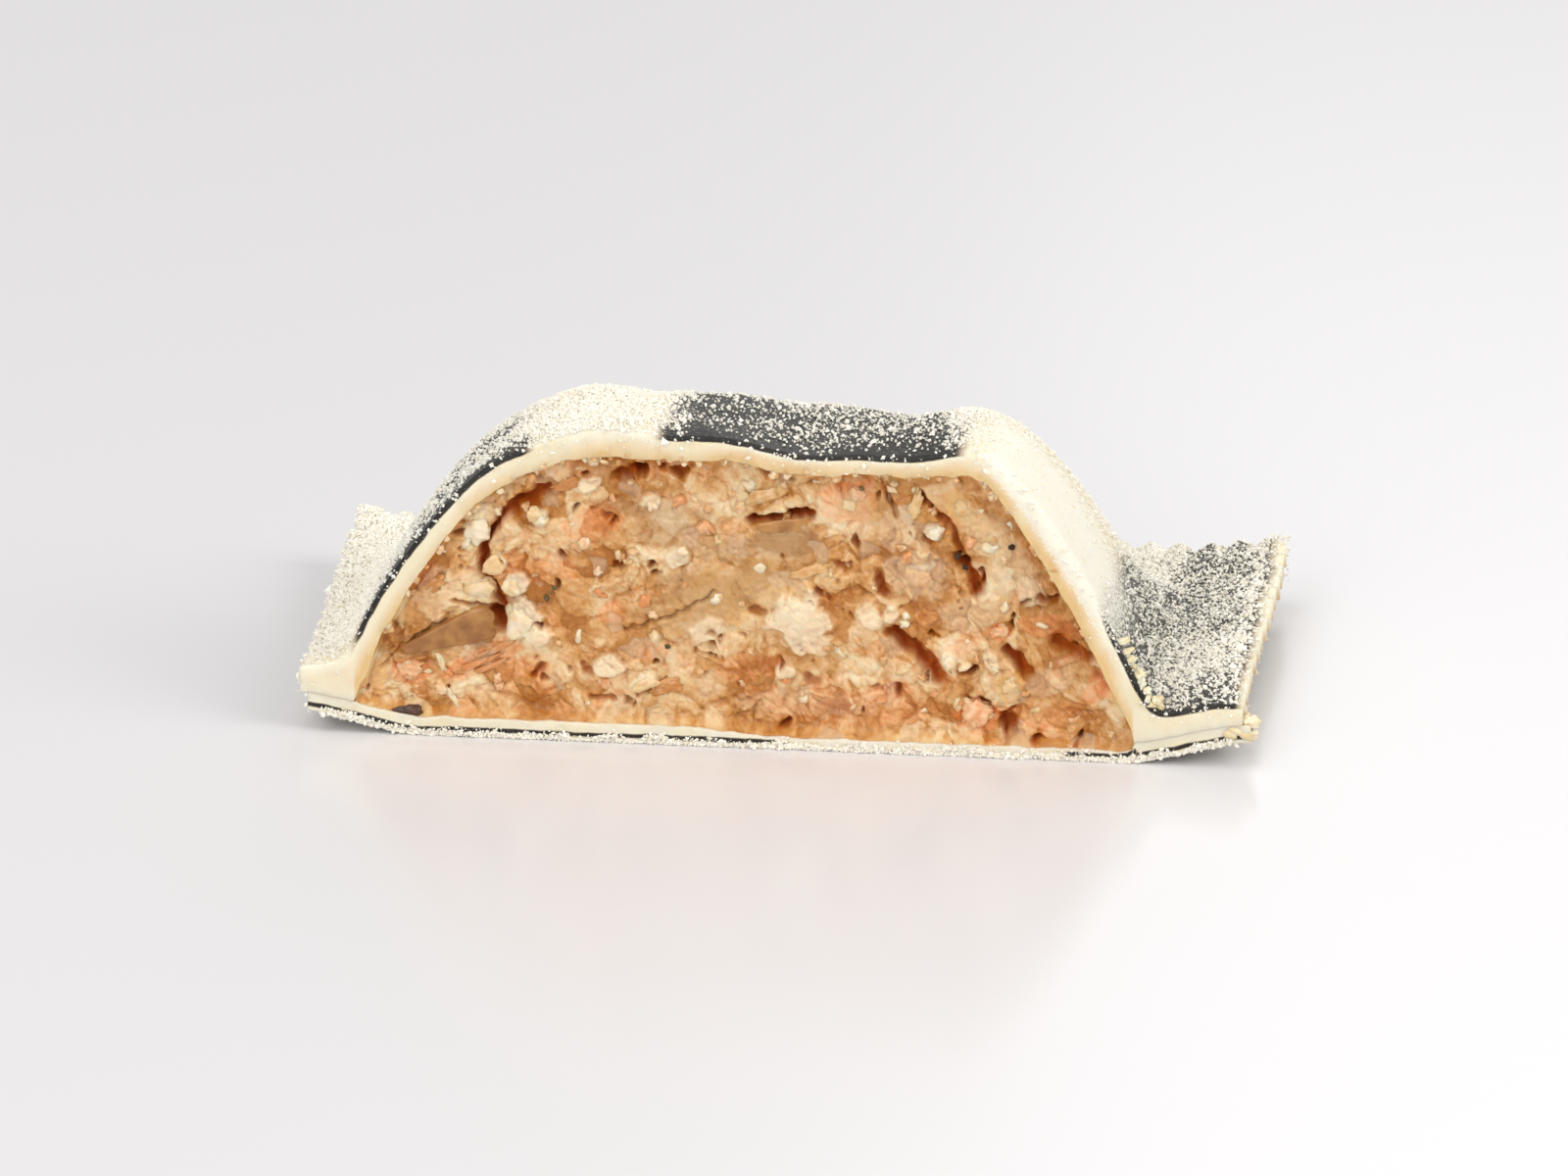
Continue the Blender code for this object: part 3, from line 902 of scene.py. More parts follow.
@dataclass
class Filling:
    """Coarse filling of salmon, white fish and ricotta with onion, cut by the knife into a crumbly face.

    Sizes are in millimetres. Each ingredient shows in ellipses, listed as x, z, half length, half height, turn in
    degrees and strength. Each crevice is a path of corners (x, z), its width and its depth.
    """

    form: Form
    columns: int = 520
    rows: int = 170
    depth_rows: int = 8
    tuck: float = 0.12
    face_room: float = 0.9
    least_room: float = 0.01
    pit_depth: float = 1.15
    # Size and height of the crumbs, and the seed of their pattern
    crumb_sizes: tuple[tuple[float, float, int], ...] = ((2.1, 0.34, 21), (0.95, 0.24, 22), (0.42, 0.12, 23))
    salmon: tuple[Row, ...] = (
        (-18.9, 3.2, 1.0, 0.7, 10, 1.1), (-15.0, 4.0, 2.4, 0.6, 28, 1.0), (-13.0, 3.6, 1.6, 0.6, 10, 0.5),
        (-18.3, 8.6, 0.9, 0.7, 40, 0.8), (-22.0, 2.4, 0.9, 0.5, 20, 0.8), (-9.4, 11.8, 1.8, 0.9, 20, 0.7),
        (-8.3, 6.8, 0.8, 0.6, 25, 0.8), (-6.4, 4.8, 1.0, 0.5, 10, 0.5), (-11.8, 9.2, 1.8, 0.7, 10, 0.5),
        (4.1, 13.4, 1.5, 1.2, 0, 1.1), (4.2, 2.0, 4.4, 1.0, 4, 0.36), (10.7, 1.9, 1.1, 1.0, 10, 1.1),
        (14.2, 2.2, 2.4, 0.7, 8, 0.42), (17.2, 3.9, 1.0, 0.7, 40, 1.0), (11.8, 6.6, 0.6, 0.5, 25, 1.1),
        (10.0, 5.8, 1.0, 0.6, 25, 0.6), (14.6, 6.9, 1.6, 0.7, -10, 0.7), (-1.0, 4.2, 1.8, 0.9, 10, 0.4),
        (6.3, 3.2, 1.2, 0.6, 0, 0.6), (-3.0, 11.4, 1.8, 0.6, 8, 0.4),
    )
    curd: tuple[Row, ...] = (
        (1.5, 6.8, 1.5, 1.5, 20, 1.0), (2.4, 5.7, 0.8, 0.6, 0, 0.8), (-12.9, 6.3, 0.95, 1.1, 0, 1.2),
        (-12.2, 5.6, 0.8, 0.6, 0, 1.0), (-13.3, 8.3, 0.6, 0.6, 0, 1.0), (-14.4, 9.3, 0.6, 0.5, 30, 1.0),
        (-9.4, 14.0, 0.7, 0.4, 15, 0.9), (-12.1, 12.1, 0.5, 0.5, 15, 0.9), (-4.9, 10.1, 0.6, 0.6, 15, 1.0),
        (-6.3, 13.2, 0.5, 0.35, 15, 0.8), (-8.5, 3.9, 0.8, 0.6, 15, 1.0), (-6.7, 3.1, 0.8, 0.45, 30, 1.1),
        (-3.4, 6.2, 0.9, 0.7, 10, 0.8), (5.2, 7.3, 0.7, 0.7, 0, 0.7), (8.4, 11.9, 0.5, 0.5, 0, 1.0),
        (6.2, 7.4, 0.4, 0.5, 0, 0.8), (9.2, 5.1, 0.4, 0.5, 0, 1.0), (10.1, 4.6, 0.35, 0.25, 0, 1.0),
        (11.5, 5.0, 0.4, 0.6, 20, 0.8), (0.8, 4.0, 0.5, 0.4, 0, 0.9), (13.4, 9.0, 0.7, 1.0, 20, 0.6),
        (7.6, 9.6, 1.6, 1.3, 0, 0.42), (10.4, 7.6, 1.7, 0.9, 10, 0.36), (12.6, 10.2, 1.0, 1.4, 30, 0.36),
        (14.4, 4.0, 1.3, 0.8, 30, 0.3), (6.6, 12.0, 0.9, 1.3, 0, 0.34), (-17.4, 7.6, 1.5, 1.2, 45, 0.36),
        (-15.4, 12.6, 1.0, 0.8, 40, 0.4), (11.3, 12.0, 1.9, 1.0, -40, 0.3), (2.0, 2.2, 4.0, 0.7, 0, 0.2),
    )
    onion: tuple[Row, ...] = (
        (-17.2, 5.3, 2.6, 0.8, 25, 1.0), (-4.7, 8.9, 1.3, 0.5, 14, 0.6), (0.7, 11.3, 1.7, 0.95, 4, 1.1),
        (-3.2, 8.0, 4.0, 1.3, 20, 0.58), (-6.0, 12.6, 3.0, 0.5, -4, 0.55), (-4.6, 11.3, 2.6, 0.8, -6, 0.5),
        (6.1, 14.0, 0.3, 1.4, -14, 0.6), (-0.9, 9.9, 3.4, 1.5, 12, 0.36), (5.6, 13.2, 2.2, 1.0, -10, 0.3),
    )
    amber: tuple[Row, ...] = (
        (-0.4, 13.9, 1.4, 0.6, 20, 0.6), (10.2, 13.1, 1.6, 0.9, -48, 0.9), (12.4, 3.6, 0.8, 0.8, 0, 0.8),
        (-18.3, 7.0, 1.5, 0.8, 45, 0.8), (-16.6, 9.8, 1.2, 0.8, 45, 0.6), (-6.0, 7.6, 3.4, 0.6, 24, 0.5),
        (-3.6, 8.9, 0.9, 0.5, 24, 1.0), (12.6, 11.0, 0.7, 1.6, 40, 0.6), (6.6, 13.0, 1.6, 1.1, 0, 0.6),
        (-20.6, 2.8, 0.5, 1.0, 0, 0.9), (0.8, 9.4, 3.4, 0.7, 20, 0.4), (-5.2, 2.8, 1.6, 0.6, 20, 0.5),
        (-2.6, 8.0, 4.6, 1.7, 20, 0.7), (-17.6, 6.6, 1.8, 1.6, 45, 0.5), (11.4, 11.6, 1.8, 1.8, -40, 0.45),
        (9.6, 11.6, 1.2, 1.8, 30, 0.2),
    )
    crevices: tuple[tuple[tuple[Row, ...], float, float], ...] = (
        (((-11.6, 13.6), (-13.2, 12.6), (-13.8, 12.2)), 0.34, 1.2),
        (((-13.8, 12.2), (-14.9, 10.6), (-15.1, 9.0), (-14.5, 8.0)), 0.2, 1.2),
        (((-14.5, 8.0), (-13.9, 6.6)), 0.2, 1.0), (((-14.4, 6.5), (-13.8, 6.0)), 0.42, 1.6),
        (((-16.6, 7.2), (-15.6, 6.9), (-14.4, 6.8)), 0.16, 0.7), (((-8.0, 14.5), (-6.8, 14.7)), 0.3, 1.0),
        (((7.5, 14.2), (8.4, 13.2), (9.5, 12.0), (9.9, 10.8)), 0.15, 0.85), (((9.7, 10.7), (10.1, 10.1)), 0.26, 1.7),
        (((10.4, 9.8), (10.7, 8.7)), 0.34, 1.2), (((5.5, 9.4), (5.9, 8.5)), 0.32, 1.0),
        (((6.4, 6.4), (7.7, 5.2), (8.6, 4.1)), 0.3, 1.4), (((8.0, 4.9), (8.7, 3.9)), 0.42, 1.2),
        (((12.3, 5.5), (13.2, 4.5)), 0.3, 1.2), (((14.9, 6.1), (16.6, 5.3)), 0.36, 1.0),
        (((16.9, 4.6), (17.5, 4.0)), 0.3, 0.6), (((5.7, 15.0), (6.0, 14.0), (6.5, 12.7)), 0.12, 0.5),
        (((10.4, 2.6), (11.3, 2.5)), 0.22, 0.7), (((-7.0, 2.4), (-5.5, 3.2)), 0.1, 0.6),
        (((-9.4, 2.2), (-8.2, 2.0)), 0.12, 0.6), (((-20.4, 3.4), (-18.8, 4.9), (-16.4, 6.7)), 0.12, 0.3),
        (((-1.0, 12.25), (0.4, 12.3), (1.9, 12.75)), 0.24, 1.5), (((3.4, 9.9), (4.1, 9.8)), 0.22, 0.8),
        (((-0.9, 7.3), (-0.5, 7.2)), 0.18, 0.7), (((2.4, 8.4), (3.0, 8.2)), 0.2, 0.6),
        (((1.9, 3.7), (2.2, 3.4)), 0.28, 0.7), (((14.0, 8.5), (14.8, 8.5)), 0.2, 0.7),
        (((12.9, 8.4), (13.5, 8.5)), 0.12, 0.6), (((8.0, 11.6), (8.3, 11.5)), 0.24, 0.7),
        (((-7.7, 6.0), (-5.4, 6.7), (-3.0, 8.2)), 0.1, 0.4), (((-12.4, 3.2), (-12.0, 3.8)), 0.18, 0.7),
        (((-9.9, 4.0), (-9.4, 3.4)), 0.16, 0.6),
    )

    def nearness(self, places: np.ndarray, rows: tuple[Row, ...]) -> np.ndarray:
        """How much of one ingredient shows at each place of the face.

        Across an ellipse's border, which noise makes ragged, the share rises from 0 to the listed strength over
        three tenths of the radius.

        Args:
            places: x and z along the last axis.
            rows: The ingredient's ellipses.

        Returns:
            Shares from 0 to about 1.
        """
        ragged = 0.35 * layered_noise(places / 0.9, 3, 71)
        share = np.zeros(places.shape[:-1])
        for x, z, half_length, half_height, turn, strength in rows:
            cosine, sine = math.cos(math.radians(turn)), math.sin(math.radians(turn))
            offset = places - np.array([x, z])
            along = (offset @ np.array([cosine, sine])) / half_length
            up = (offset @ np.array([-sine, cosine])) / half_height
            inside = smooth_step((1.15 - np.hypot(along, up) + ragged) / 0.3)
            share = np.maximum(share, strength * inside)
        return share

    def relief(self, places: np.ndarray) -> tuple[np.ndarray, dict[str, np.ndarray]]:
        """How far the torn face lies behind the knife's plane, and what each place is made of.

        Depth is the sum of broad clumps, three sizes of crumbs parted by grooves, thresholded pits and the listed
        crevices, each a bell curve round its path. Onion and oily amber flakes are smoother than the mash.

        Args:
            places: x and z along the last axis, in millimetres.

        Returns:
            Depth in millimetres, and the traits of the face.
        """
        salmon, curd = self.nearness(places, self.salmon), np.clip(self.nearness(places, self.curd), 0, 1)
        onion, amber = self.nearness(places, self.onion), self.nearness(places, self.amber)
        smooth_parts = np.clip(onion + amber, 0, 1)
        bent = places + 0.45 * paired(layered_noise(places / 1.7, 2, 3), layered_noise(places / 1.7 + 40, 2, 4))
        depth = 0.3 * (0.5 + 0.5 * gradient_noise(places / 5.0, 12)) + 0.36 - 0.42 * curd
        looseness = np.clip(0.75 + 0.6 * gradient_noise(places / 4.2, 19), 0.25, 1.3) * (1 - 0.7 * smooth_parts)
        tones = []
        grooves = np.zeros(places.shape[:-1])
        hollow = np.zeros(places.shape[:-1])
        for size, height, seed in self.crumb_sizes:
            nearest, second, tone = crumb_cells(bent / size, seed)
            groove = np.exp(-(((second - nearest) / 0.17) ** 2))
            dome = np.clip(nearest, 0, 1) ** 2
            sunk = height * looseness * (0.38 * groove + 0.35 * dome + 0.55 * (1 - tone))
            depth = depth + sunk
            hollow = hollow + sunk
            grooves = grooves + groove * looseness * height * (1.3 - tone)
            tones.append(tone)
        pit_noise = layered_noise(bent / 1.3, 3, 31) + 0.35 * gradient_noise(places / 5.5, 33)
        pits = smooth_step((pit_noise - 0.52) / 0.5) * (1 - smooth_parts)
        torn = np.zeros(places.shape[:-1])
        ragged = places + 0.22 * paired(layered_noise(places / 0.8, 2, 35), layered_noise(places / 0.8, 2, 36))
        for path, width, deep in self.crevices:
            torn = np.maximum(torn, deep * np.exp(-((path_distance(ragged, path) / width) ** 2)))
        # Strands run up to the right by 24 degrees, 1.3 mm long and 0.2 mm wide.
        along = places @ np.array([[0.91, -0.41], [0.41, 0.91]]) / np.array([1.3, 0.2])
        strands = 0.07 * layered_noise(along, 2, 38) * smooth_step(0.5 + 1.2 * gradient_noise(places / 3.0, 39))
        depth = depth + self.pit_depth * pits + torn + strands + 0.045 * layered_noise(places / 0.26, 2, 37)
        masses = 0.5 + 0.7 * gradient_noise(places / 2.8 + 20, 44) + 0.5 * gradient_noise(places / 6.5 + 60, 48)
        tone = 0.42 * masses + 0.26 * tones[0] + 0.22 * tones[1] + 0.1 * tones[2]
        traits = {
            # Partly the crumbs' own random tone, partly painted shade: darker where the crumbs sink deeper.
            "tone": 0.46 + 1.2 * (tone - 0.5) - 0.75 * (hollow - 0.27),
            "salmon": np.clip(salmon + 0.35 * (tones[1] > 0.88), 0, 1.2),
            "curd": np.clip(curd + 0.4 * (tones[1] < 0.1), 0, 1),
            "onion": onion,
            "amber": amber,
            # How deep each place lies in a pit, crevice or groove, which the finish paints as shade.
            "cavity": np.clip(0.9 * pits + 0.95 * torn + 0.62 * grooves, 0, 2.5),
        }
        return depth, traits

    def face_y(self, x: np.ndarray, z: np.ndarray) -> np.ndarray:
        """Where the torn face stands at (x, z)."""
        return self.form.cut_y + self.relief(paired(x, z))[0]

    def room(self, x: np.ndarray, y: np.ndarray) -> np.ndarray:
        """Height of the space between the two sheets."""
        return self.form.inner_top(x, y) - self.form.lower_top(x, y)

    def span(self) -> tuple[float, float]:
        """Where the filling starts and ends along the cut: the outermost places with 0.01 mm of room.

        Returns:
            Left and right end.
        """
        x = np.linspace(-self.form.side_x, self.form.side_x, 2001)
        roomy = x[self.room(x, np.full_like(x, self.form.cut_y)) > self.least_room]
        return float(roomy[0]), float(roomy[-1])

    def shell(self) -> Shell:
        """Loft the filling through rings: forward along its top, down the torn face, and back along its bottom.

        Returns:
            The closed surface, with the traits of the face.
        """
        form = self.form
        x = np.linspace(*self.span(), self.columns)
        # Each ring reaches back to where the sheets first meet behind the cut.
        steps = np.linspace(form.cut_y, form.back_y, 241)
        closed = self.room(*np.meshgrid(x, steps, indexing="ij")) <= self.least_room
        reach = steps[np.where(closed.any(axis=1), np.argmax(closed, axis=1), len(steps) - 24)]
        front = form.cut_y + self.face_room
        shares = np.linspace(0, 1, self.depth_rows) ** 1.2
        y = front + shares * np.maximum(reach[:, None] - form.cut_y - self.face_room, 0.0)
        wide_x = np.repeat(x[:, None], self.depth_rows, axis=1)
        inner, floor = form.inner_top(wide_x, y), form.filling_floor(wide_x, y)
        closing = smooth_step((inner - floor) / 0.5) * self.tuck
        top, bottom = inner + closing, floor - closing
        face_x = np.repeat(x[:, None], self.rows, axis=1)
        cut_line = np.full_like(x, form.cut_y)
        upper, lower = form.inner_top(x, cut_line), form.filling_floor(x, cut_line)
        margin = smooth_step((upper - lower) / 0.5) * self.tuck
        down = np.linspace(0, 1, self.rows)
        face_z = (upper + margin)[:, None] + down * (lower - upper - 2 * margin)[:, None]
        depth, traits = self.relief(paired(face_x, face_z))
        edge = np.minimum(face_z - (lower - margin)[:, None], (upper + margin)[:, None] - face_z)
        depth = depth * (0.18 + 0.82 * smooth_step(edge / 0.7)) + 0.05
        # Beside the dough the mash is steeped in oil and smeared over it.
        smear = 0.9 * np.exp(-((edge / 0.45) ** 2)) * (0.7 + 0.5 * gradient_noise(paired(face_x, face_z), 49))
        traits["amber"] = np.maximum(traits["amber"], smear)
        rows = (
            (wide_x[:, ::-1], face_x, wide_x),
            (y[:, ::-1], form.cut_y + depth, y),
            (top[:, ::-1], face_z, bottom),
        )
        points = np.stack([np.concatenate(parts, axis=1) for parts in rows], axis=-1)
        hidden = np.zeros((self.columns, self.depth_rows))
        ring_traits = {k: np.concatenate([hidden, v, hidden], axis=1).ravel() for k, v in traits.items()}
        return Shell(points.reshape(-1, 3), ring_faces(*points.shape[:2]), ring_traits).welded()

    def build(self, node: str) -> bpy.types.Object:
        """Make the filling, dressed in its finish, in place of its CAD node."""
        return make_piece("filling_mash", self.shell(), FishMash().material(), True, node)


@dataclass(frozen=True)
class FishMash:
    """Cooked salmon and white fish mashed with ricotta and onion: moist, crumbly, and translucent at its edges.

    It is a mottle of cream and peach crumbs. Deep places are painted brown-orange and the deepest dark brown:
    painted shade standing for light that reaches them only through the oily crumbs round them. Sizes are in
    millimetres.
    """

    crumbs: tuple[str, ...] = ("B6722A", "CF9450", "E0AF76", "EBC897", "F3DFBA")
    salmon: tuple[str, ...] = ("D67C3A", "EE9C60", "F6BC88")
    curd: str = "F6E7C8"
    onion: tuple[str, ...] = ("96622F", "B98850")
    amber: tuple[str, ...] = ("C6863A", "E3B06A")
    # Painted shade: brown-orange in the hollows, dark brown in the deepest pits.
    cavity: str = "C05E08"
    deep_pit_shade: str = "6E2C04"
    fibres: float = 1 / 2.6
    mottle: float = 1 / 0.42
    fibre_relief: float = 0.1
    light_reach: float = 0.6

    def material(self) -> bpy.types.Material:
        """Build the finish from the face's traits and fine noise.

        Returns:
            The material.
        """
        settings = {
            # A film of oil.
            "Coat Weight": 0.12,
            "Coat Roughness": 0.15,
            "Specular IOR Level": 0.4,
            "Subsurface Weight": 0.5,
            "Subsurface Radius": (1.0, 0.45, 0.2),
            "Subsurface Scale": self.light_reach * METRES_PER_MM,
        }
        finish = ShaderTree("salmon_and_ricotta_mash", settings)
        node = finish.add
        scaled, added, mixed = {"operation": "MULTIPLY_ADD"}, {"operation": "ADD"}, {"data_type": "RGBA"}
        place = node("TexCoord", output="Object")
        names = ("tone", "salmon", "curd", "onion", "amber", "cavity")
        trait = {name: node("Attribute", {"attribute_name": name}, output="Fac") for name in names}
        # Fibres and curd grains of 0.2 to 0.5 mm give each crumb its own mottle.
        grain = node("TexNoise", {"Scale": noise_scale(self.fibres), "Detail": 3.0}, {"Vector": place})
        broad = node("TexNoise", {"Scale": noise_scale(self.mottle), "Detail": 3.0}, {"Vector": place})
        mottled = node("Math", scaled | {1: 0.6, 2: -0.3}, {0: grain})
        toned = node("Math", added, {0: trait["tone"], 1: mottled})
        spread = node("Math", scaled | {1: 0.8, 2: -0.4}, {0: broad})
        tone = node("Math", added, {0: toned, 1: spread})
        # The tone darkens the crumbs partly at random and partly as painted shade in sunk places.
        colour = node("ValToRGB", {"ramp": list(zip((0.1, 0.35, 0.52, 0.7, 0.92), self.crumbs))}, {0: tone})
        # Each ingredient is laid over the crumbs with its own light and dark side.
        layers = (
            ("salmon", self.salmon, (0.2, 0.5, 0.8)),
            ("amber", self.amber, (0.3, 0.7)),
            ("onion", self.onion, (0.3, 0.75)),
        )
        for name, colours, stops in layers:
            own = node("ValToRGB", {"ramp": list(zip(stops, colours))}, {0: tone})
            share = node("MapRange", {"From Max": 1.0, "To Max": 0.85}, {"Value": trait[name]})
            colour = node("Mix", mixed, {0: share, 6: colour, 7: own}, 2)
        # Curd pales the crumbs; painted shade makes the hollows brown-orange and the deepest pits dark brown.
        washes = (
            ("curd", self.curd, {"From Max": 1.0, "To Max": 0.7}),
            ("cavity", self.cavity, {"From Min": 0.24, "From Max": 0.95, "To Max": 0.95}),
            ("cavity", self.deep_pit_shade, {"From Min": 1.2, "From Max": 2.0, "To Max": 0.9}),
        )
        for name, own, limits in washes:
            share = node("MapRange", limits, {"Value": trait[name]})
            colour = node("Mix", mixed | {7: own}, {0: share, 6: colour}, 2)
        gloss = {"From Min": 0.35, "From Max": 0.65, "To Min": 0.16, "To Max": 0.46}
        wet = node("MapRange", gloss, {"Value": broad})
        # Torn fibres make the hollows matt.
        matt = node("MapRange", {"From Min": 0.3, "From Max": 0.9, "To Max": 0.6}, {"Value": trait["cavity"]})
        roughness = node("Math", added, {0: wet, 1: matt})
        raised = {"Strength": 0.8, "Distance": self.fibre_relief * METRES_PER_MM}
        return finish.finished(Base_Color=colour, Roughness=roughness, Normal=node("Bump", raised, {"Height": grain}))


@dataclass(frozen=True)
class Morsel:
    """A moist morsel's finish: colours from its dark to its light side, moisture, translucency and relief.

    Grain is the size of the mottle, translucency how far light travels, and relief how high the mottle stands,
    each in millimetres.
    """

    name: str
    colours: tuple[str, ...]
    grain: float
    roughness: float
    translucency: float
    relief: float
    film_of_oil: float = 0.0

    def material(self) -> bpy.types.Material:
        """Build the finish, with each morsel a little lighter or darker by its own random number.

        Returns:
            The material.
        """
        settings = {"Roughness": self.roughness, "Coat Weight": self.film_of_oil, "Coat Roughness": 0.2}
        if self.translucency:
            settings["Subsurface Weight"] = 0.5
            settings["Subsurface Radius"] = (1.0, 0.6, 0.3)
            settings["Subsurface Scale"] = self.translucency * METRES_PER_MM
        finish = ShaderTree(self.name, settings)
        node = finish.add
        place = node("TexCoord", output="Object")
        own = node("Attribute", {"attribute_name": "own"}, output="Fac")
        grain = node("TexNoise", {"Scale": noise_scale(self.grain), "Detail": 3.0}, {"Vector": place})
        lighter = node("Math", {"operation": "MULTIPLY_ADD", 1: 0.5, 2: -0.25}, {0: own})
        tone = node("Math", {"operation": "ADD"}, {0: grain, 1: lighter})
        stops = np.linspace(0.3, 0.75, len(self.colours)).tolist()
        colour = node("ValToRGB", {"ramp": list(zip(stops, self.colours))}, {0: tone})
        raised = {"Strength": 0.6, "Distance": self.relief * METRES_PER_MM}
        return finish.finished(Base_Color=colour, Normal=node("Bump", raised, {"Height": grain}))


# Ricotta: pressed curd, cream-white, matt and grainy, with a wet film.
RICOTTA = Morsel("ricotta_curd", ("E8C590", "F2D9B0", "F8E9CE"), 0.6, 0.42, 0.3, 0.04)
# Cooked salmon: orange-pink flakes with an oily shine.
SALMON = Morsel("cooked_salmon", ("DE9458", "EFAC78", "F6C79C"), 0.5, 0.32, 0.5, 0.05, 0.2)
# Fried onion: brown, glassy slices.
ONION = Morsel("fried_onion", ("7E4C20", "A26C34", "C48F50"), 1.2, 0.32, 0.3, 0.06, 0.15)
# Mushroom: a dark brown chip, wet.
MUSHROOM = Morsel("cooked_mushroom", ("2C1810", "44281A", "6A4430"), 0.4, 0.3, 0.3, 0.03, 0.2)
# White fish flakes: pale peach with a moist shine.
FISH = Morsel("white_fish_flake", ("D9A266", "EDC494", "F9E0BE"), 0.4, 0.3, 0.2, 0.06, 0.2)
# Fish flakes steeped in oil: amber and glassy.
STEEPED_FISH = Morsel("steeped_fish_flake", ("CB8A46", "E2AE70", "F0CC9A"), 0.5, 0.28, 0.35, 0.05, 0.2)
# Black pepper: cracked, nearly black.
PEPPER = Morsel("cracked_pepper", ("24140A", "3A2414", "573A22"), 0.1, 0.6, 0.0, 0.02)
# Chopped dill: dark green scraps.
HERB = Morsel("chopped_dill", ("463C20", "655832", "87784C"), 0.15, 0.6, 0.0, 0.02)
# Scraps torn from the fresh dough: yellowish and dry at the edges.
TORN_DOUGH = Morsel("torn_pasta_dough", ("E4D0A4", "F0E0BC", "F7EDD4"), 0.5, 0.55, 0.3, 0.05)


@dataclass(frozen=True)
class Bedding:
    """How one kind of morsel is shaped, and how it lies in the cut face.

    Thickness is half the morsel's depth as a share of its smaller half size, and proud is the share of its depth
    by which it stands out of the torn face. The rest is as for lumps.
    """

    thickness: float
    proud: float
    roughness: float
    lumpiness: float
    blockiness: float = 3.0
    taper: float | Row = 0.35


@dataclass
class Morsels:
    """Separate morsels that stand in the cut face: curds, salmon, slices, flakes, crumbs, pepper and dill.

    Each curd, flake, slice and chip is listed as x, z, half length, half height and turn in degrees, and each
    speck as x and z, in millimetres.
    """

    form: Form
    filling: Filling
    seed: int = 23
    curds: tuple[Row, ...] = (
        (-15.35, 11.1, 0.6, 0.68, 20), (-15.3, 7.9, 0.85, 0.46, 8), (-13.1, 6.2, 0.7, 0.8, 0),
        (-14.5, 9.2, 0.55, 0.42, 30), (-13.5, 8.2, 0.5, 0.5, 0), (-12.3, 12.2, 0.4, 0.36, 40),
        (4.05, 13.3, 0.42, 0.34, 0), (-6.6, 3.1, 0.7, 0.3, 25), (8.5, 12.0, 0.42, 0.32, 20),
        (-16.7, 1.9, 0.16, 0.6, 35), (-17.3, 3.8, 0.15, 0.5, 20), (9.3, 5.0, 0.3, 0.36, 0),
        (-16.0, 12.3, 0.16, 0.5, 20),
    )
    salmon: tuple[Row, ...] = (
        (-18.9, 3.3, 0.7, 0.5, 15), (-15.4, 3.8, 1.3, 0.2, 30), (-14.4, 4.6, 1.1, 0.16, 32),
        (-15.0, 3.5, 1.2, 0.15, 24), (10.7, 2.0, 0.8, 0.75, 10), (4.5, 13.9, 0.4, 0.35, 0),
        (11.8, 6.6, 0.5, 0.36, 25),
    )
    slices: tuple[Row, ...] = (
        (-16.9, 5.35, 2.6, 0.66, 22), (0.6, 12.0, 1.3, 0.36, 4), (6.15, 13.9, 0.1, 1.1, -14),
    )
    flakes: tuple[Row, ...] = (
        (-0.3, 13.7, 1.0, 0.32, 20), (10.0, 13.2, 1.1, 0.4, -48), (12.4, 3.7, 0.55, 0.5, 0),
        (-17.6, 8.0, 0.7, 0.3, 45), (-5.4, 2.9, 1.0, 0.4, 20), (7.4, 13.2, 0.3, 1.0, -20),
        (-10.6, 13.9, 0.7, 0.3, 20), (2.0, 9.6, 1.0, 0.3, 15),
    )
    chip: tuple[Row, ...] = ((-19.0, 1.2, 0.75, 0.26, 4.0),)
    pepper: tuple[Row, ...] = ((12.5, 11.4), (9.7, 10.8), (10.1, 10.2))
    dill: tuple[Row, ...] = ((-11.5, 7.9), (-11.3, 8.2), (-11.7, 7.6), (4.7, 14.3), (-5.4, 5.2))
    pepper_radii: tuple[float, float] = (0.15, 0.24)
    dill_radii: tuple[float, float] = (0.1, 0.2)
    deepest: float = 0.9
    deepest_speck: float = 0.6

    def placed(self, rng: np.random.Generator, rows: tuple[Row, ...], bedding: Bedding) -> Shell:
        """Make lumps that lie flat in the face at listed places.

        Args:
            rng: Source of each lump's own shape.
            rows: x, z, half length, half height and turn of each lump.
            bedding: How they are shaped and how they lie.

        Returns:
            The lumps as one shell.
        """
        x, z, half_length, half_height, turn = np.array(rows, float).T
        half_depth = bedding.thickness * np.minimum(half_length, half_height)
        y = np.minimum(self.filling.face_y(x, z), self.form.cut_y + self.deepest)
        y = y + half_depth * (1 - 2 * bedding.proud)
        angle = np.radians(turn)
        turns = np.zeros((len(x), 3, 3))
        turns[:, 0, 0], turns[:, 0, 2] = np.cos(angle), -np.sin(angle)
        turns[:, 2, 0], turns[:, 2, 2] = np.sin(angle), np.cos(angle)
        turns[:, 1, 1] = 1.0
        centres, sizes = np.stack([x, y, z], axis=1), np.stack([half_length, half_depth, half_height], axis=1)
        look = (bedding.roughness, bedding.lumpiness, 22, 32, bedding.blockiness, bedding.taper)
        return lumps(rng, centres, sizes, turns, *look)

    def strewn(
        self,
        rng: np.random.Generator,
        centres: np.ndarray,
        radii: np.ndarray,
        stretch: tuple[float, float],
        look: tuple[float, float, int, int] = (0.6, 1.3, 7, 10),
    ) -> Shell:
        """Make crumbs at given places, each stretched and turned at random.

        Args:
            rng: Source of the stretches and turns.
            centres: Middle of each crumb.
            radii: Its radius.
            stretch: Least and most that each half size is of the radius.
            look: Roughness, lumpiness, rings and segments, as for lumps.

        Returns:
            The crumbs as one shell.
        """
        sizes = radii[:, None] * rng.uniform(*stretch, (len(radii), 3))
        return lumps(rng, centres, sizes, random_turns(rng, len(radii)), *look)

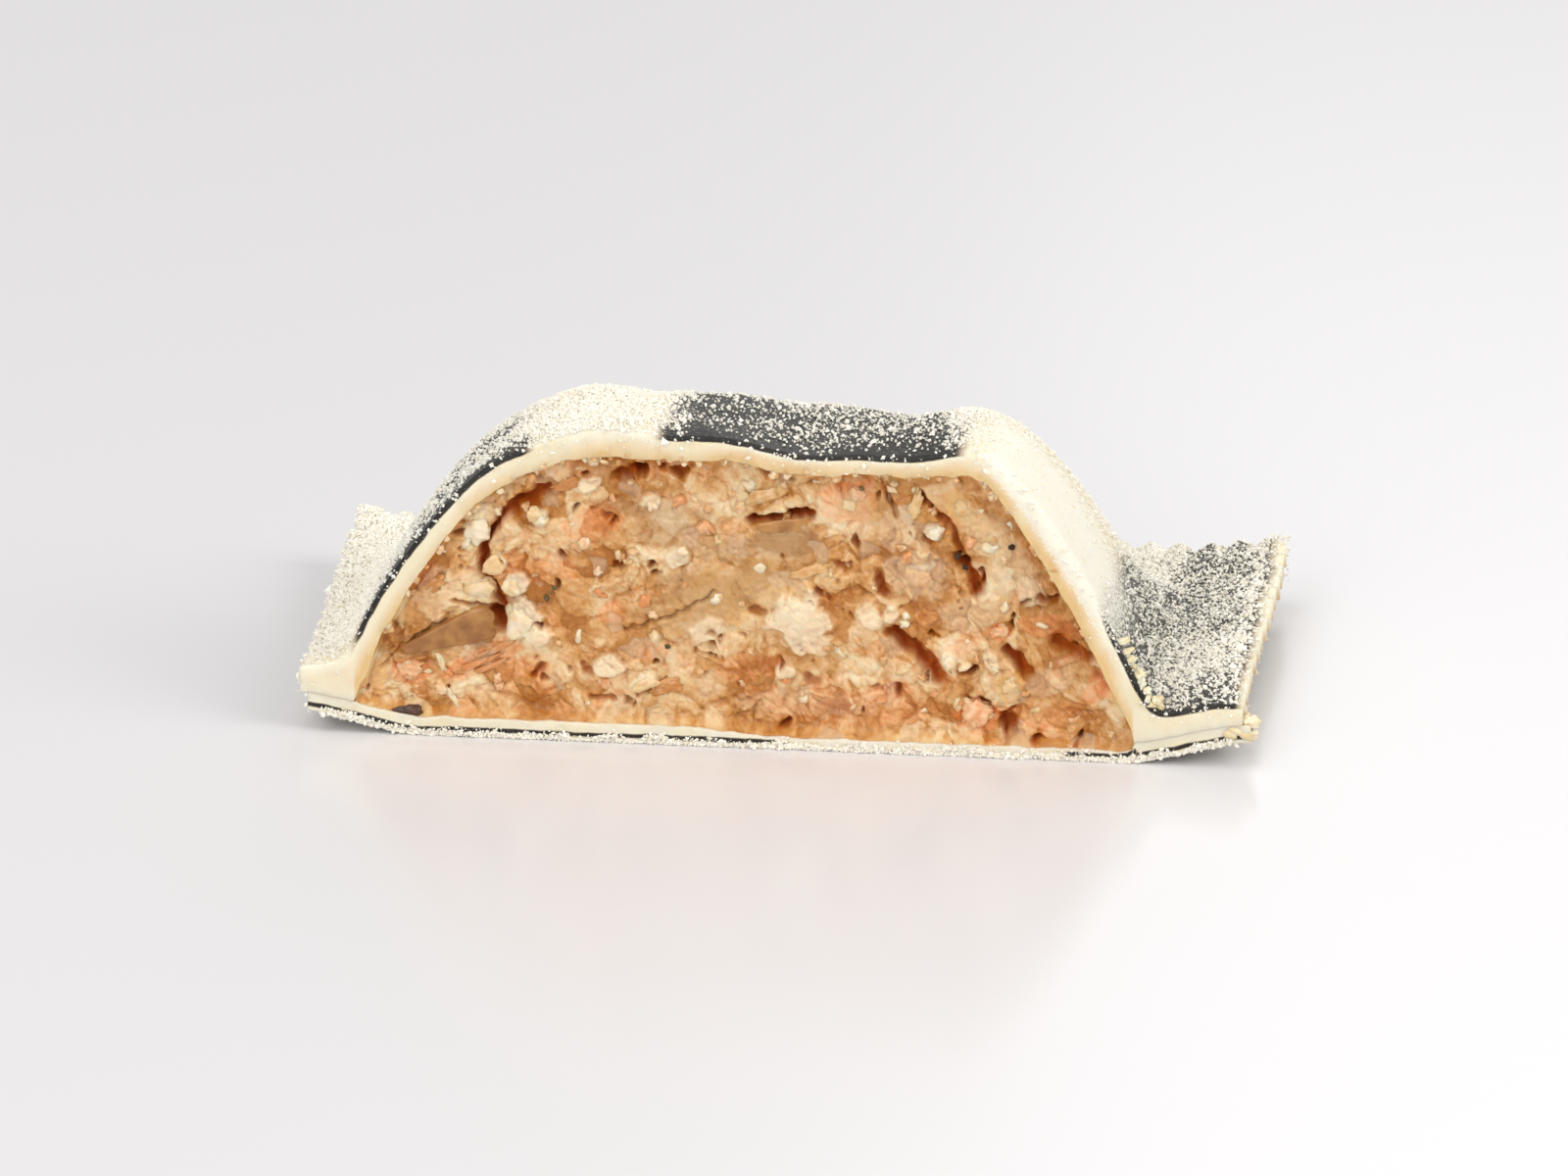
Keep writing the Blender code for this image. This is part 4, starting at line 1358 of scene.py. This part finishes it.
    def scattered(self, rng: np.random.Generator, count: int, least: float, most: float) -> Shell:
        """Strew small crumbs over the face at random.

        Args:
            rng: Source of places, sizes and turns.
            count: How many crumbs are tried; those outside the face are dropped.
            least: Smallest radius in millimetres.
            most: Largest radius.

        Returns:
            The crumbs as one shell.
        """
        start, end = self.filling.span()
        x = rng.uniform(start + 0.6, end - 0.6, count)
        z = rng.uniform(1.0, self.form.crown, count)
        cut = np.full_like(x, self.form.cut_y)
        radius = least * (most / least) ** rng.uniform(0, 1, count) ** 1.6
        fits = (z < self.form.inner_top(x, cut) - radius) & (z > self.form.lower_top(x, cut) + radius)
        x, z, radius = x[fits], z[fits], radius[fits]
        y = self.filling.face_y(x, z) + 0.6 * radius
        return self.strewn(rng, np.stack([x, y, z], axis=1), radius, (0.5, 1.5))

    def along_border(self, rng: np.random.Generator, count: int, least: float, most: float) -> Shell:
        """Smear crumbs across the line where the upper sheet meets the filling.

        Args:
            rng: Source of places, sizes and turns.
            count: How many crumbs.
            least: Smallest radius in millimetres.
            most: Largest radius.

        Returns:
            The crumbs as one shell.
        """
        start, end = self.filling.span()
        x = rng.uniform(start + 1.5, end - 1.5, count)
        radius = rng.uniform(least, most, count)
        cut = np.full_like(x, self.form.cut_y)
        slope = self.form.upper_slopes(x, cut)[0]
        below = rng.normal(0.06, 0.14, count) * np.sqrt(1 + slope**2)
        centres = np.stack([x, cut + 0.14 + 0.4 * radius, self.form.inner_top(x, cut) - below], axis=1)
        return self.strewn(rng, centres, radius, (0.6, 1.4))

    def specks(self, rng: np.random.Generator, rows: tuple[Row, ...], radii: tuple[float, float]) -> Shell:
        """Make small angular bits at listed places of the face.

        Args:
            rng: Source of sizes and turns.
            rows: x and z of each speck.
            radii: Smallest and largest radius.

        Returns:
            The specks as one shell.
        """
        radius = rng.uniform(*radii, len(rows))
        x, z = np.array(rows).T
        y = np.minimum(self.filling.face_y(x, z), self.form.cut_y + self.deepest_speck) - 0.2 * radius
        return self.strewn(rng, np.stack([x, y, z], axis=1), radius, (0.6, 1.1), (0.35, 1.6, 5, 7))

    def build(self) -> None:
        """Make every kind of morsel as one piece each. The order of the rows is that of the random draws."""
        rng = np.random.default_rng(self.seed)
        for name, finish, shape, values in (
            ("ricotta_curds", RICOTTA, self.placed, (self.curds, Bedding(0.8, 0.2, 0.32, 1.3, 2.8))),
            ("salmon_flakes", SALMON, self.placed, (self.salmon, Bedding(0.7, 0.25, 0.4, 1.9, 2.4))),
            ("onion_slices", ONION, self.placed, (self.slices, Bedding(0.3, 0.3, 0.1, 1.5, 5.0, (0.6, 0.3, 0.0)))),
            ("fish_flakes", STEEPED_FISH, self.placed, (self.flakes, Bedding(0.5, 0.15, 0.45, 1.6, 2.4))),
            ("fish_crumbs", FISH, self.scattered, (90, 0.16, 0.32)),
            ("ricotta_crumbs", RICOTTA, self.scattered, (36, 0.2, 0.36)),
            ("salmon_crumbs", SALMON, self.scattered, (40, 0.16, 0.34)),
            ("border_crumbs", FISH, self.along_border, (90, 0.1, 0.22)),
            ("mushroom_chip", MUSHROOM, self.placed, (self.chip, Bedding(0.8, 1.5, 0.25, 1.6, 2.4))),
            ("pepper_specks", PEPPER, self.specks, (self.pepper, self.pepper_radii)),
            ("dill_specks", HERB, self.specks, (self.dill, self.dill_radii)),
        ):
            # Cracked pepper keeps its sharp facets.
            make_piece(name, shape(rng, *values), finish.material(), finish is not PEPPER)


@dataclass(frozen=True)
class WheatFlour:
    """Coarse milled durum flour: angular off-white grains of about a fifth of a millimetre, dry and matt."""

    light: str = "FAF7EE"
    dark: str = "F1EAD8"

    def material(self) -> bpy.types.Material:
        """Build the finish, with each grain a little lighter or yellower.

        Returns:
            The material.
        """
        finish = ShaderTree("coarse_durum_flour", {"Roughness": 0.75, "Specular IOR Level": 0.35})
        own = finish.add("Attribute", {"attribute_name": "own"}, output="Fac")
        colour = finish.add("ValToRGB", {"ramp": [(0.0, self.dark), (0.6, self.light)]}, {0: own})
        return finish.finished(Base_Color=colour)


@dataclass
class Flour:
    """The flour on the pasta: where it lies, and its grains. Sizes are in millimetres."""

    form: Form
    seed: int = 5
    grain_area: float = 0.017
    typical_radius: float = 0.092
    lower_inset: float = 0.4
    tried_per_area: float = 190.0
    edge_grains: int = 9000
    cut_grains: int = 8000
    belly_grains: int = 7000
    stray_grains: int = 260
    rim_width: float = 4.2
    rim_part: float = 12.0
    dome_part: float = 6.0

    def right_wall(self, x: np.ndarray, y: np.ndarray) -> np.ndarray:
        """1 on the steep right wall near the cut, where a thumb has rubbed the grains off and a highlight is painted,
        and 0 away from it.
        """
        return smooth_step((x - 10.0) / 2.0) * smooth_step((19.0 - x) / 1.5) * smooth_step((-1.0 - y) / 7.0)

    def dust_veil_and_highlight(self, x: np.ndarray, y: np.ndarray) -> np.ndarray:
        """Share of the upper sheet whitened by dust too fine to model, a little more than the grains hide, plus a
        painted highlight on the right wall.
        """
        return np.clip(1.05 * self.cover(x, y) + 0.9 * self.right_wall(x, y), 0, 0.95)

    def cover(self, x: np.ndarray, y: np.ndarray) -> np.ndarray:
        """Share of the upper sheet that flour grains hide at (x, y).

        Thick on the rims and on level places, thin on steep ones, patchy, and wiped off along the knife cut.

        Args:
            x: Places along the cut.
            y: Places square to it.

        Returns:
            Shares from 0.01 to 0.9.
        """
        form = self.form
        level = 1 / form.stretch(x, y)
        patchy = 0.5 + 0.8 * layered_noise(paired(x, y) / 6.0, 3, 81)
        rim = smooth_step((5.0 - form.from_edge(x, y)) / 2.5)
        cover = 0.18 + 0.62 * level**2 * np.clip(patchy + 0.15, 0, 1.2) + 0.45 * rim
        wiped = smooth_step((y - form.cut_y - 0.25 + 0.5 * gradient_noise(paired(x, y) / 1.5, 83)) / 2.6)
        crown = plateau(x, -9.3, 3.6)
        cover = cover * np.clip(0.12 + 0.88 * wiped + 0.75 * crown, 0, 1.15)
        flange = smooth_step((x - 19.0) / 1.5) * smooth_step((24.2 - x) / 0.8)
        cover = cover + flange * (0.3 + 0.25 * patchy - cover) * (0.15 + 0.85 * wiped)
        bare_strip = smooth_step((x - 23.5) / 0.7)
        cover = cover + bare_strip * (0.34 - cover)
        black_top = smooth_step((x + 5.4) / 1.5) * smooth_step((9.6 - x) / 1.5)
        cover = cover * (1 - 0.93 * self.right_wall(x, y)) * (1 - 0.6 * black_top)
        return np.clip(cover, 0.01, 0.9)

    def grains(self, rng: np.random.Generator, places: np.ndarray) -> Shell:
        """Make angular grains at the given places: octahedra with each corner pulled in or out, and turned.

        Args:
            rng: Source of shapes and turns.
            places: Middle of each grain.

        Returns:
            The grains as one shell, with each grain's random number as the trait "own".
        """
        count = len(places)
        corners = np.concatenate([np.eye(3), -np.eye(3)])
        pulled = corners[None] * rng.uniform(0.6, 1.2, (count, 6, 1)) + rng.uniform(-0.2, 0.2, (count, 6, 3))
        radius = self.typical_radius * np.exp(rng.normal(0, 0.33, (count, 1, 1)))
        shaped = pulled * radius * rng.uniform(0.7, 1.15, (count, 1, 3))
        points = places[:, None, :] + np.einsum("nij,nkj->nki", random_turns(rng, count), shaped)
        points[..., 2] = np.maximum(points[..., 2], 0.0)
        # Each face joins one corner of every axis, and every other one is turned round to point outwards.
        ends = []
        for a, b, c in itertools.product((0, 1), repeat=3):
            first, second, third = 3 * a, 1 + 3 * b, 2 + 3 * c
            ends.append((second, first, third) if (a + b + c) % 2 else (first, second, third))
        faces = np.array(ends)[None] + (np.arange(count) * 6)[:, None, None]
        return Shell(points.reshape(-1, 3), faces.reshape(-1, 3), {"own": np.repeat(rng.uniform(0, 1, count), 6)})

    def on_top(self, rng: np.random.Generator) -> np.ndarray:
        """Places of the grains on the upper sheet.

        Tried places are even over the sheet's plan, and each is kept with a chance in step with the surface
        area above it and with -ln(1 - cover), which is what overlapping random grains need for that cover.

        Args:
            rng: Source of the places.

        Returns:
            One row of x, y and z for each grain.
        """
        form = self.form
        tried = int(self.tried_per_area * form.length * form.depth)
        x = rng.uniform(-form.side_x, form.side_x, tried)
        y = rng.uniform(form.cut_y, form.back_y, tried)
        wanted = -np.log(1 - self.cover(x, y)) / self.grain_area * form.stretch(x, y)
        teeth = form.teeth()
        clear = (x + form.side_x > np.interp(y, *teeth["left"])) & (form.side_x - x > np.interp(y, *teeth["right"]))
        clear &= form.back_y - y > np.interp(x, *teeth["back"])
        kept = (rng.uniform(0, self.tried_per_area, tried) < wanted) & clear
        x, y = x[kept], y[kept]
        slope_x, slope_y = form.upper_slopes(x, y)
        height = rng.uniform(0.15, 0.75, len(x)) * self.typical_radius + 0.05 * self.cover(x, y) ** 3
        lift = height / form.stretch(x, y)
        return np.stack([x - slope_x * lift, y - slope_y * lift, form.upper_top(x, y) + lift], axis=1)

    def on_edges(self, rng: np.random.Generator) -> np.ndarray:
        """Places of the grains that cling to the pinked edges, even along them and up their thickness.

        Args:
            rng: Source of the places.

        Returns:
            One row of x, y and z for each grain.
        """
        form = self.form
        teeth = form.teeth()
        along = rng.uniform(0, 1, self.edge_grains)
        up = rng.uniform(-0.05, 1.05, self.edge_grains)
        y = form.cut_y + along * form.depth
        x = -form.side_x + along * form.length
        out = rng.uniform(-0.05, 0.08, self.edge_grains)
        # 0 is the left edge, 1 the right one, 2 and 3 the back one, which is twice as long.
        kinds = rng.integers(0, 4, self.edge_grains)
        # The lower sheet's edge stands back from the upper one's.
        out = out - self.lower_inset * (up < form.lower_sheet / form.rim_height)
        left = -form.side_x + np.interp(y, *teeth["left"]) - out
        right = form.side_x - np.interp(y, *teeth["right"]) + out
        on_side = kinds < 2
        place_x = np.where(on_side, np.where(kinds == 0, left, right), x)
        place_y = np.where(on_side, y, form.back_y - np.interp(x, *teeth["back"]) + out)
        height = form.belly(place_x, place_y) + up * (form.rim_height - form.crimp(place_x, place_y))
        inside = (np.abs(place_x) < form.side_x + 0.1) & (place_y < form.back_y + 0.1)
        # The right edge of the upper sheet is bare.
        inside &= (kinds != 1) | (up < 0.45)
        return np.stack([place_x, place_y, height], axis=1)[inside]

    def under_cut(self, rng: np.random.Generator) -> np.ndarray:
        """Places of the thick fringe of flour along the lower edge of the cut, whose height varies in bumps.

        Args:
            rng: Source of the places.

        Returns:
            x, y and z of each grain.
        """
        form = self.form
        x = rng.uniform(-form.side_x + 1.5, form.side_x - 1.0, self.cut_grains)
        belly = form.belly(x, np.full(len(x), form.cut_y))
        thick = 0.2 + 0.16 * gradient_noise(paired(x, 0 * x) / 1.3, 91)
        height = belly + np.abs(rng.normal(0, 1, len(x))) * thick * 0.9 - 0.02
        out = form.cut_y + 0.1 - np.abs(rng.normal(0, 0.12, len(x)))
        return np.stack([x, out, np.maximum(height, 0.06)], axis=1)[height < belly + 0.75]

    def under_belly(self, rng: np.random.Generator) -> np.ndarray:
        """Places of the grains pressed into the underside.

        Args:
            rng: Source of the places.

        Returns:
            x, y and z of each grain.
        """
        form = self.form
        x = rng.uniform(-form.side_x + 1.2, form.side_x - 1.2, self.belly_grains)
        y = rng.uniform(form.cut_y + 0.2, form.back_y - 1.2, self.belly_grains)
        return np.stack([x, y, form.belly(x, y) + 0.02], axis=1)

    def strays(self, rng: np.random.Generator) -> np.ndarray:
        """Places of the few grains that the knife dragged onto the cut dough and the filling.

        Args:
            rng: Source of the places.

        Returns:
            x, y and z of each grain.
        """
        form = self.form
        x = rng.uniform(-form.side_x + 1, form.side_x - 1, self.stray_grains)
        down = np.abs(rng.normal(0, 0.45, len(x)))
        z = form.upper_top(x, np.full(len(x), form.cut_y)) - down
        return np.stack([x, np.full(len(x), form.cut_y - 0.02), z], axis=1)[down < 1.1]

    def build(self) -> None:
        """Make the grains, a piece for each part of the pasta that they lie on."""
        rng = np.random.default_rng(self.seed)
        finish = WheatFlour().material()
        top = self.on_top(rng)
        x = top[:, 0]
        on_rim = self.form.from_edge(x, top[:, 1]) < self.rim_width
        regions = {
            "flour_on_left_rim": top[on_rim & (x < -self.rim_part)],
            "flour_on_back_rim": top[on_rim & (np.abs(x) <= self.rim_part)],
            "flour_on_right_rim": top[on_rim & (x > self.rim_part)],
            "flour_on_left_dome": top[~on_rim & (x < -self.dome_part)],
            "flour_on_middle_dome": top[~on_rim & (np.abs(x) <= self.dome_part)],
            "flour_on_right_dome": top[~on_rim & (x > self.dome_part)],
            "flour_on_pinked_edges": self.on_edges(rng),
            "flour_under_cut": self.under_cut(rng),
            "flour_under_belly": self.under_belly(rng),
            "flour_strays": self.strays(rng),
        }
        for name, places in regions.items():
            make_piece(name, self.grains(rng, places), finish, False)


@dataclass
class TornDough:
    """Scraps of dough that the knife tore: at the right rim's tip, and a ragged ridge in the crease beside it.

    Each scrap at the tip is listed as x, y, z and its half sizes along X, Y and Z, in millimetres.
    """

    form: Form
    seed: int = 31
    tip: tuple[Row, ...] = (
        (24.3, -12.1, 1.8, 0.9, 0.6, 0.55), (24.9, -12.0, 2.3, 0.55, 0.5, 0.5), (23.8, -12.3, 1.5, 0.6, 0.35, 0.35),
        (25.0, -12.1, 1.6, 0.5, 0.4, 0.4), (24.6, -11.2, 1.9, 0.6, 0.8, 0.35),
    )
    ridge_x: tuple[float, float] = (18.2, 20.2)
    ridge_scraps: int = 11
    ridge_stretch: tuple[float, float, float] = (1.2, 1.2, 0.8)
    turned: float = 0.25

    def build(self) -> None:
        """Make the scraps as one piece of lumpy flakes that overlap along the ridge, each a little turned."""
        rng = np.random.default_rng(self.seed)
        x = np.linspace(*self.ridge_x, self.ridge_scraps) + rng.normal(0, 0.08, self.ridge_scraps)
        y = self.form.cut_y + 0.35 + np.abs(rng.normal(0, 0.2, self.ridge_scraps))
        ridge = np.stack([x, y, self.form.upper_top(x, y) + 0.1], axis=1)
        sizes = rng.uniform(0.26, 0.5, (self.ridge_scraps, 3)) * self.ridge_stretch
        rows = np.concatenate([np.array(self.tip), np.concatenate([ridge, sizes], axis=1)])
        turns = random_turns(rng, len(rows)) * self.turned + np.eye(3) * (1 - self.turned)
        shell = lumps(rng, rows[:, :3], rows[:, 3:], turns, 0.45, 1.5, 16, 22, 2.4)
        make_piece("torn_dough_scraps", shell, TORN_DOUGH.material(), True)


def put_in_scene(name: str, data: bpy.types.ID, place: Vector, facing: Vector) -> bpy.types.Object:
    """Hang a light or a camera at a place and turn it.

    Args:
        name: Name of the object.
        data: The light's or the camera's own data.
        place: Where it hangs, in metres.
        facing: The direction that it looks in.

    Returns:
        The new object.
    """
    holder = bpy.data.objects.new(name, data)
    holder.location = place
    holder.rotation_euler = facing.to_track_quat("-Z", "Y").to_euler()
    bpy.context.scene.collection.objects.link(holder)
    return holder


@dataclass(frozen=True)
class SoftLight:
    """A square soft light: where it hangs and its side in metres, its power in watts and its colour."""

    name: str
    place: tuple[float, float, float]
    side: float
    power: float
    colour: str = "FFFFFF"

    def hang(self, aim: Vector) -> None:
        """Put the light in the scene, facing a point.

        Args:
            aim: The point, in metres.
        """
        lamp = bpy.data.lights.new(self.name, "AREA")
        lamp.size, lamp.energy, lamp.color = self.side, self.power, linear(self.colour)[:3]
        put_in_scene(self.name, lamp, Vector(self.place), aim - Vector(self.place))


@dataclass
class Studio:
    """Pale table, soft light, and the camera in front of the cut and a little above it. Sizes are in metres."""

    azimuth: float = 6.5
    elevation: float = 20.0
    distance: float = 0.75
    focal_length: float = 330.0
    sensor: float = 36.0
    aim: tuple[float, float, float] = (0.0, -0.006, 0.0065)
    table_size: float = 1.6
    surroundings: str = "F7F6F5"
    surround_strength: float = 0.45
    lights: tuple[SoftLight, ...] = (
        SoftLight("overhead_softbox", (-0.2, -0.1, 0.7), 0.6, 1.82),
        SoftLight("front_fill", (-0.3, -0.75, 0.4), 0.5, 2.9, "FFFDFA"),
        SoftLight("back_softbox", (0.15, 0.75, 0.5), 0.5, 1.2),
        SoftLight("right_softbox", (0.6, -0.2, 0.45), 0.45, 2.8, "FFFDF8"),
    )

    def table(self) -> None:
        """Lay a glossy off-white table top under the raviolo."""
        half = self.table_size / 2
        mesh = bpy.data.meshes.new("table_top")
        corners = [(-half, -half, 0.0), (half, -half, 0.0), (half, half, 0.0), (-half, half, 0.0)]
        mesh.from_pydata(corners, [], [(0, 1, 2, 3)])
        # Laminate: smooth plastic film over board, so a faint soft mirror image shows.
        look = {"Base Color": "E4E3E5", "Roughness": 0.22, "Specular IOR Level": 0.35}
        mesh.materials.append(ShaderTree("glossy_white_laminate", look).material)
        top = bpy.data.objects.new("table_top", mesh)
        bpy.context.scene.collection.objects.link(top)

    def camera(self) -> None:
        """Set the camera at its azimuth, counted from the -Y side towards +X, and its elevation."""
        turn, lift = math.radians(self.azimuth), math.radians(self.elevation)
        direction = Vector((math.sin(turn) * math.cos(lift), -math.cos(turn) * math.cos(lift), math.sin(lift)))
        data = bpy.data.cameras.new("camera")
        data.lens, data.sensor_width = self.focal_length, self.sensor
        place = Vector(self.aim) + direction * self.distance
        bpy.context.scene.camera = put_in_scene("camera", data, place, -direction)

    def build(self) -> None:
        """Set up table, lights, surroundings and camera."""
        self.table()
        for light in self.lights:
            light.hang(Vector(self.aim))
        world = bpy.data.worlds.new("studio")
        world.use_nodes = True
        background = world.node_tree.nodes["Background"]
        background.inputs[0].default_value = linear(self.surroundings)
        background.inputs[1].default_value = self.surround_strength
        bpy.context.scene.world = world
        bpy.context.scene.view_settings.view_transform = "Standard"
        self.camera()


UPPER_STRIPES = ((-21.5, -12.9), (-5.4, 9.6), (17.5, 24.0))
LOWER_STRIPES = ((-24.8, 0.6), (15.5, 24.8))


def main() -> None:
    """Build the raviolo piece by piece, then the studio; each piece logs its triangle count."""
    logging.basicConfig(level=logging.INFO, format="%(name)s: %(message)s")
    form = Form()
    flour = Flour(form)
    upper = PastaSheet(
        "upper_pasta_sheet",
        "striped_pasta",
        form,
        StripedDough("striped_egg_pasta", UPPER_STRIPES),
        form.upper_top,
        form.inner_top,
        # The upper sheet is whitened by flour dust and by a painted highlight on its right wall and cut shoulder.
        flour.dust_veil_and_highlight,
        Ink.ABOVE,
    )
    upper.build("upper_sheet")
    lower = PastaSheet(
        "lower_pasta_sheet",
        "floured_pasta",
        form,
        StripedDough("floured_egg_pasta", LOWER_STRIPES, skin=0.1),
        form.filling_floor,
        form.belly,
        lambda x, y: np.full_like(x, 0.75),
        Ink.BELOW,
        inset=0.4,
        scrap_reach=6.0,
        columns=260,
        rows=100,
        shoulder_round=0.0,
        shoulder_highlight=0.0,
        ink_lift=0.36,
    )
    lower.build("lower_sheet")
    filling = Filling(form)
    filling.build("filling")
    Morsels(form, filling).build()
    TornDough(form).build()
    flour.build()
    Studio().build()


if __name__ == "__main__":
    main()
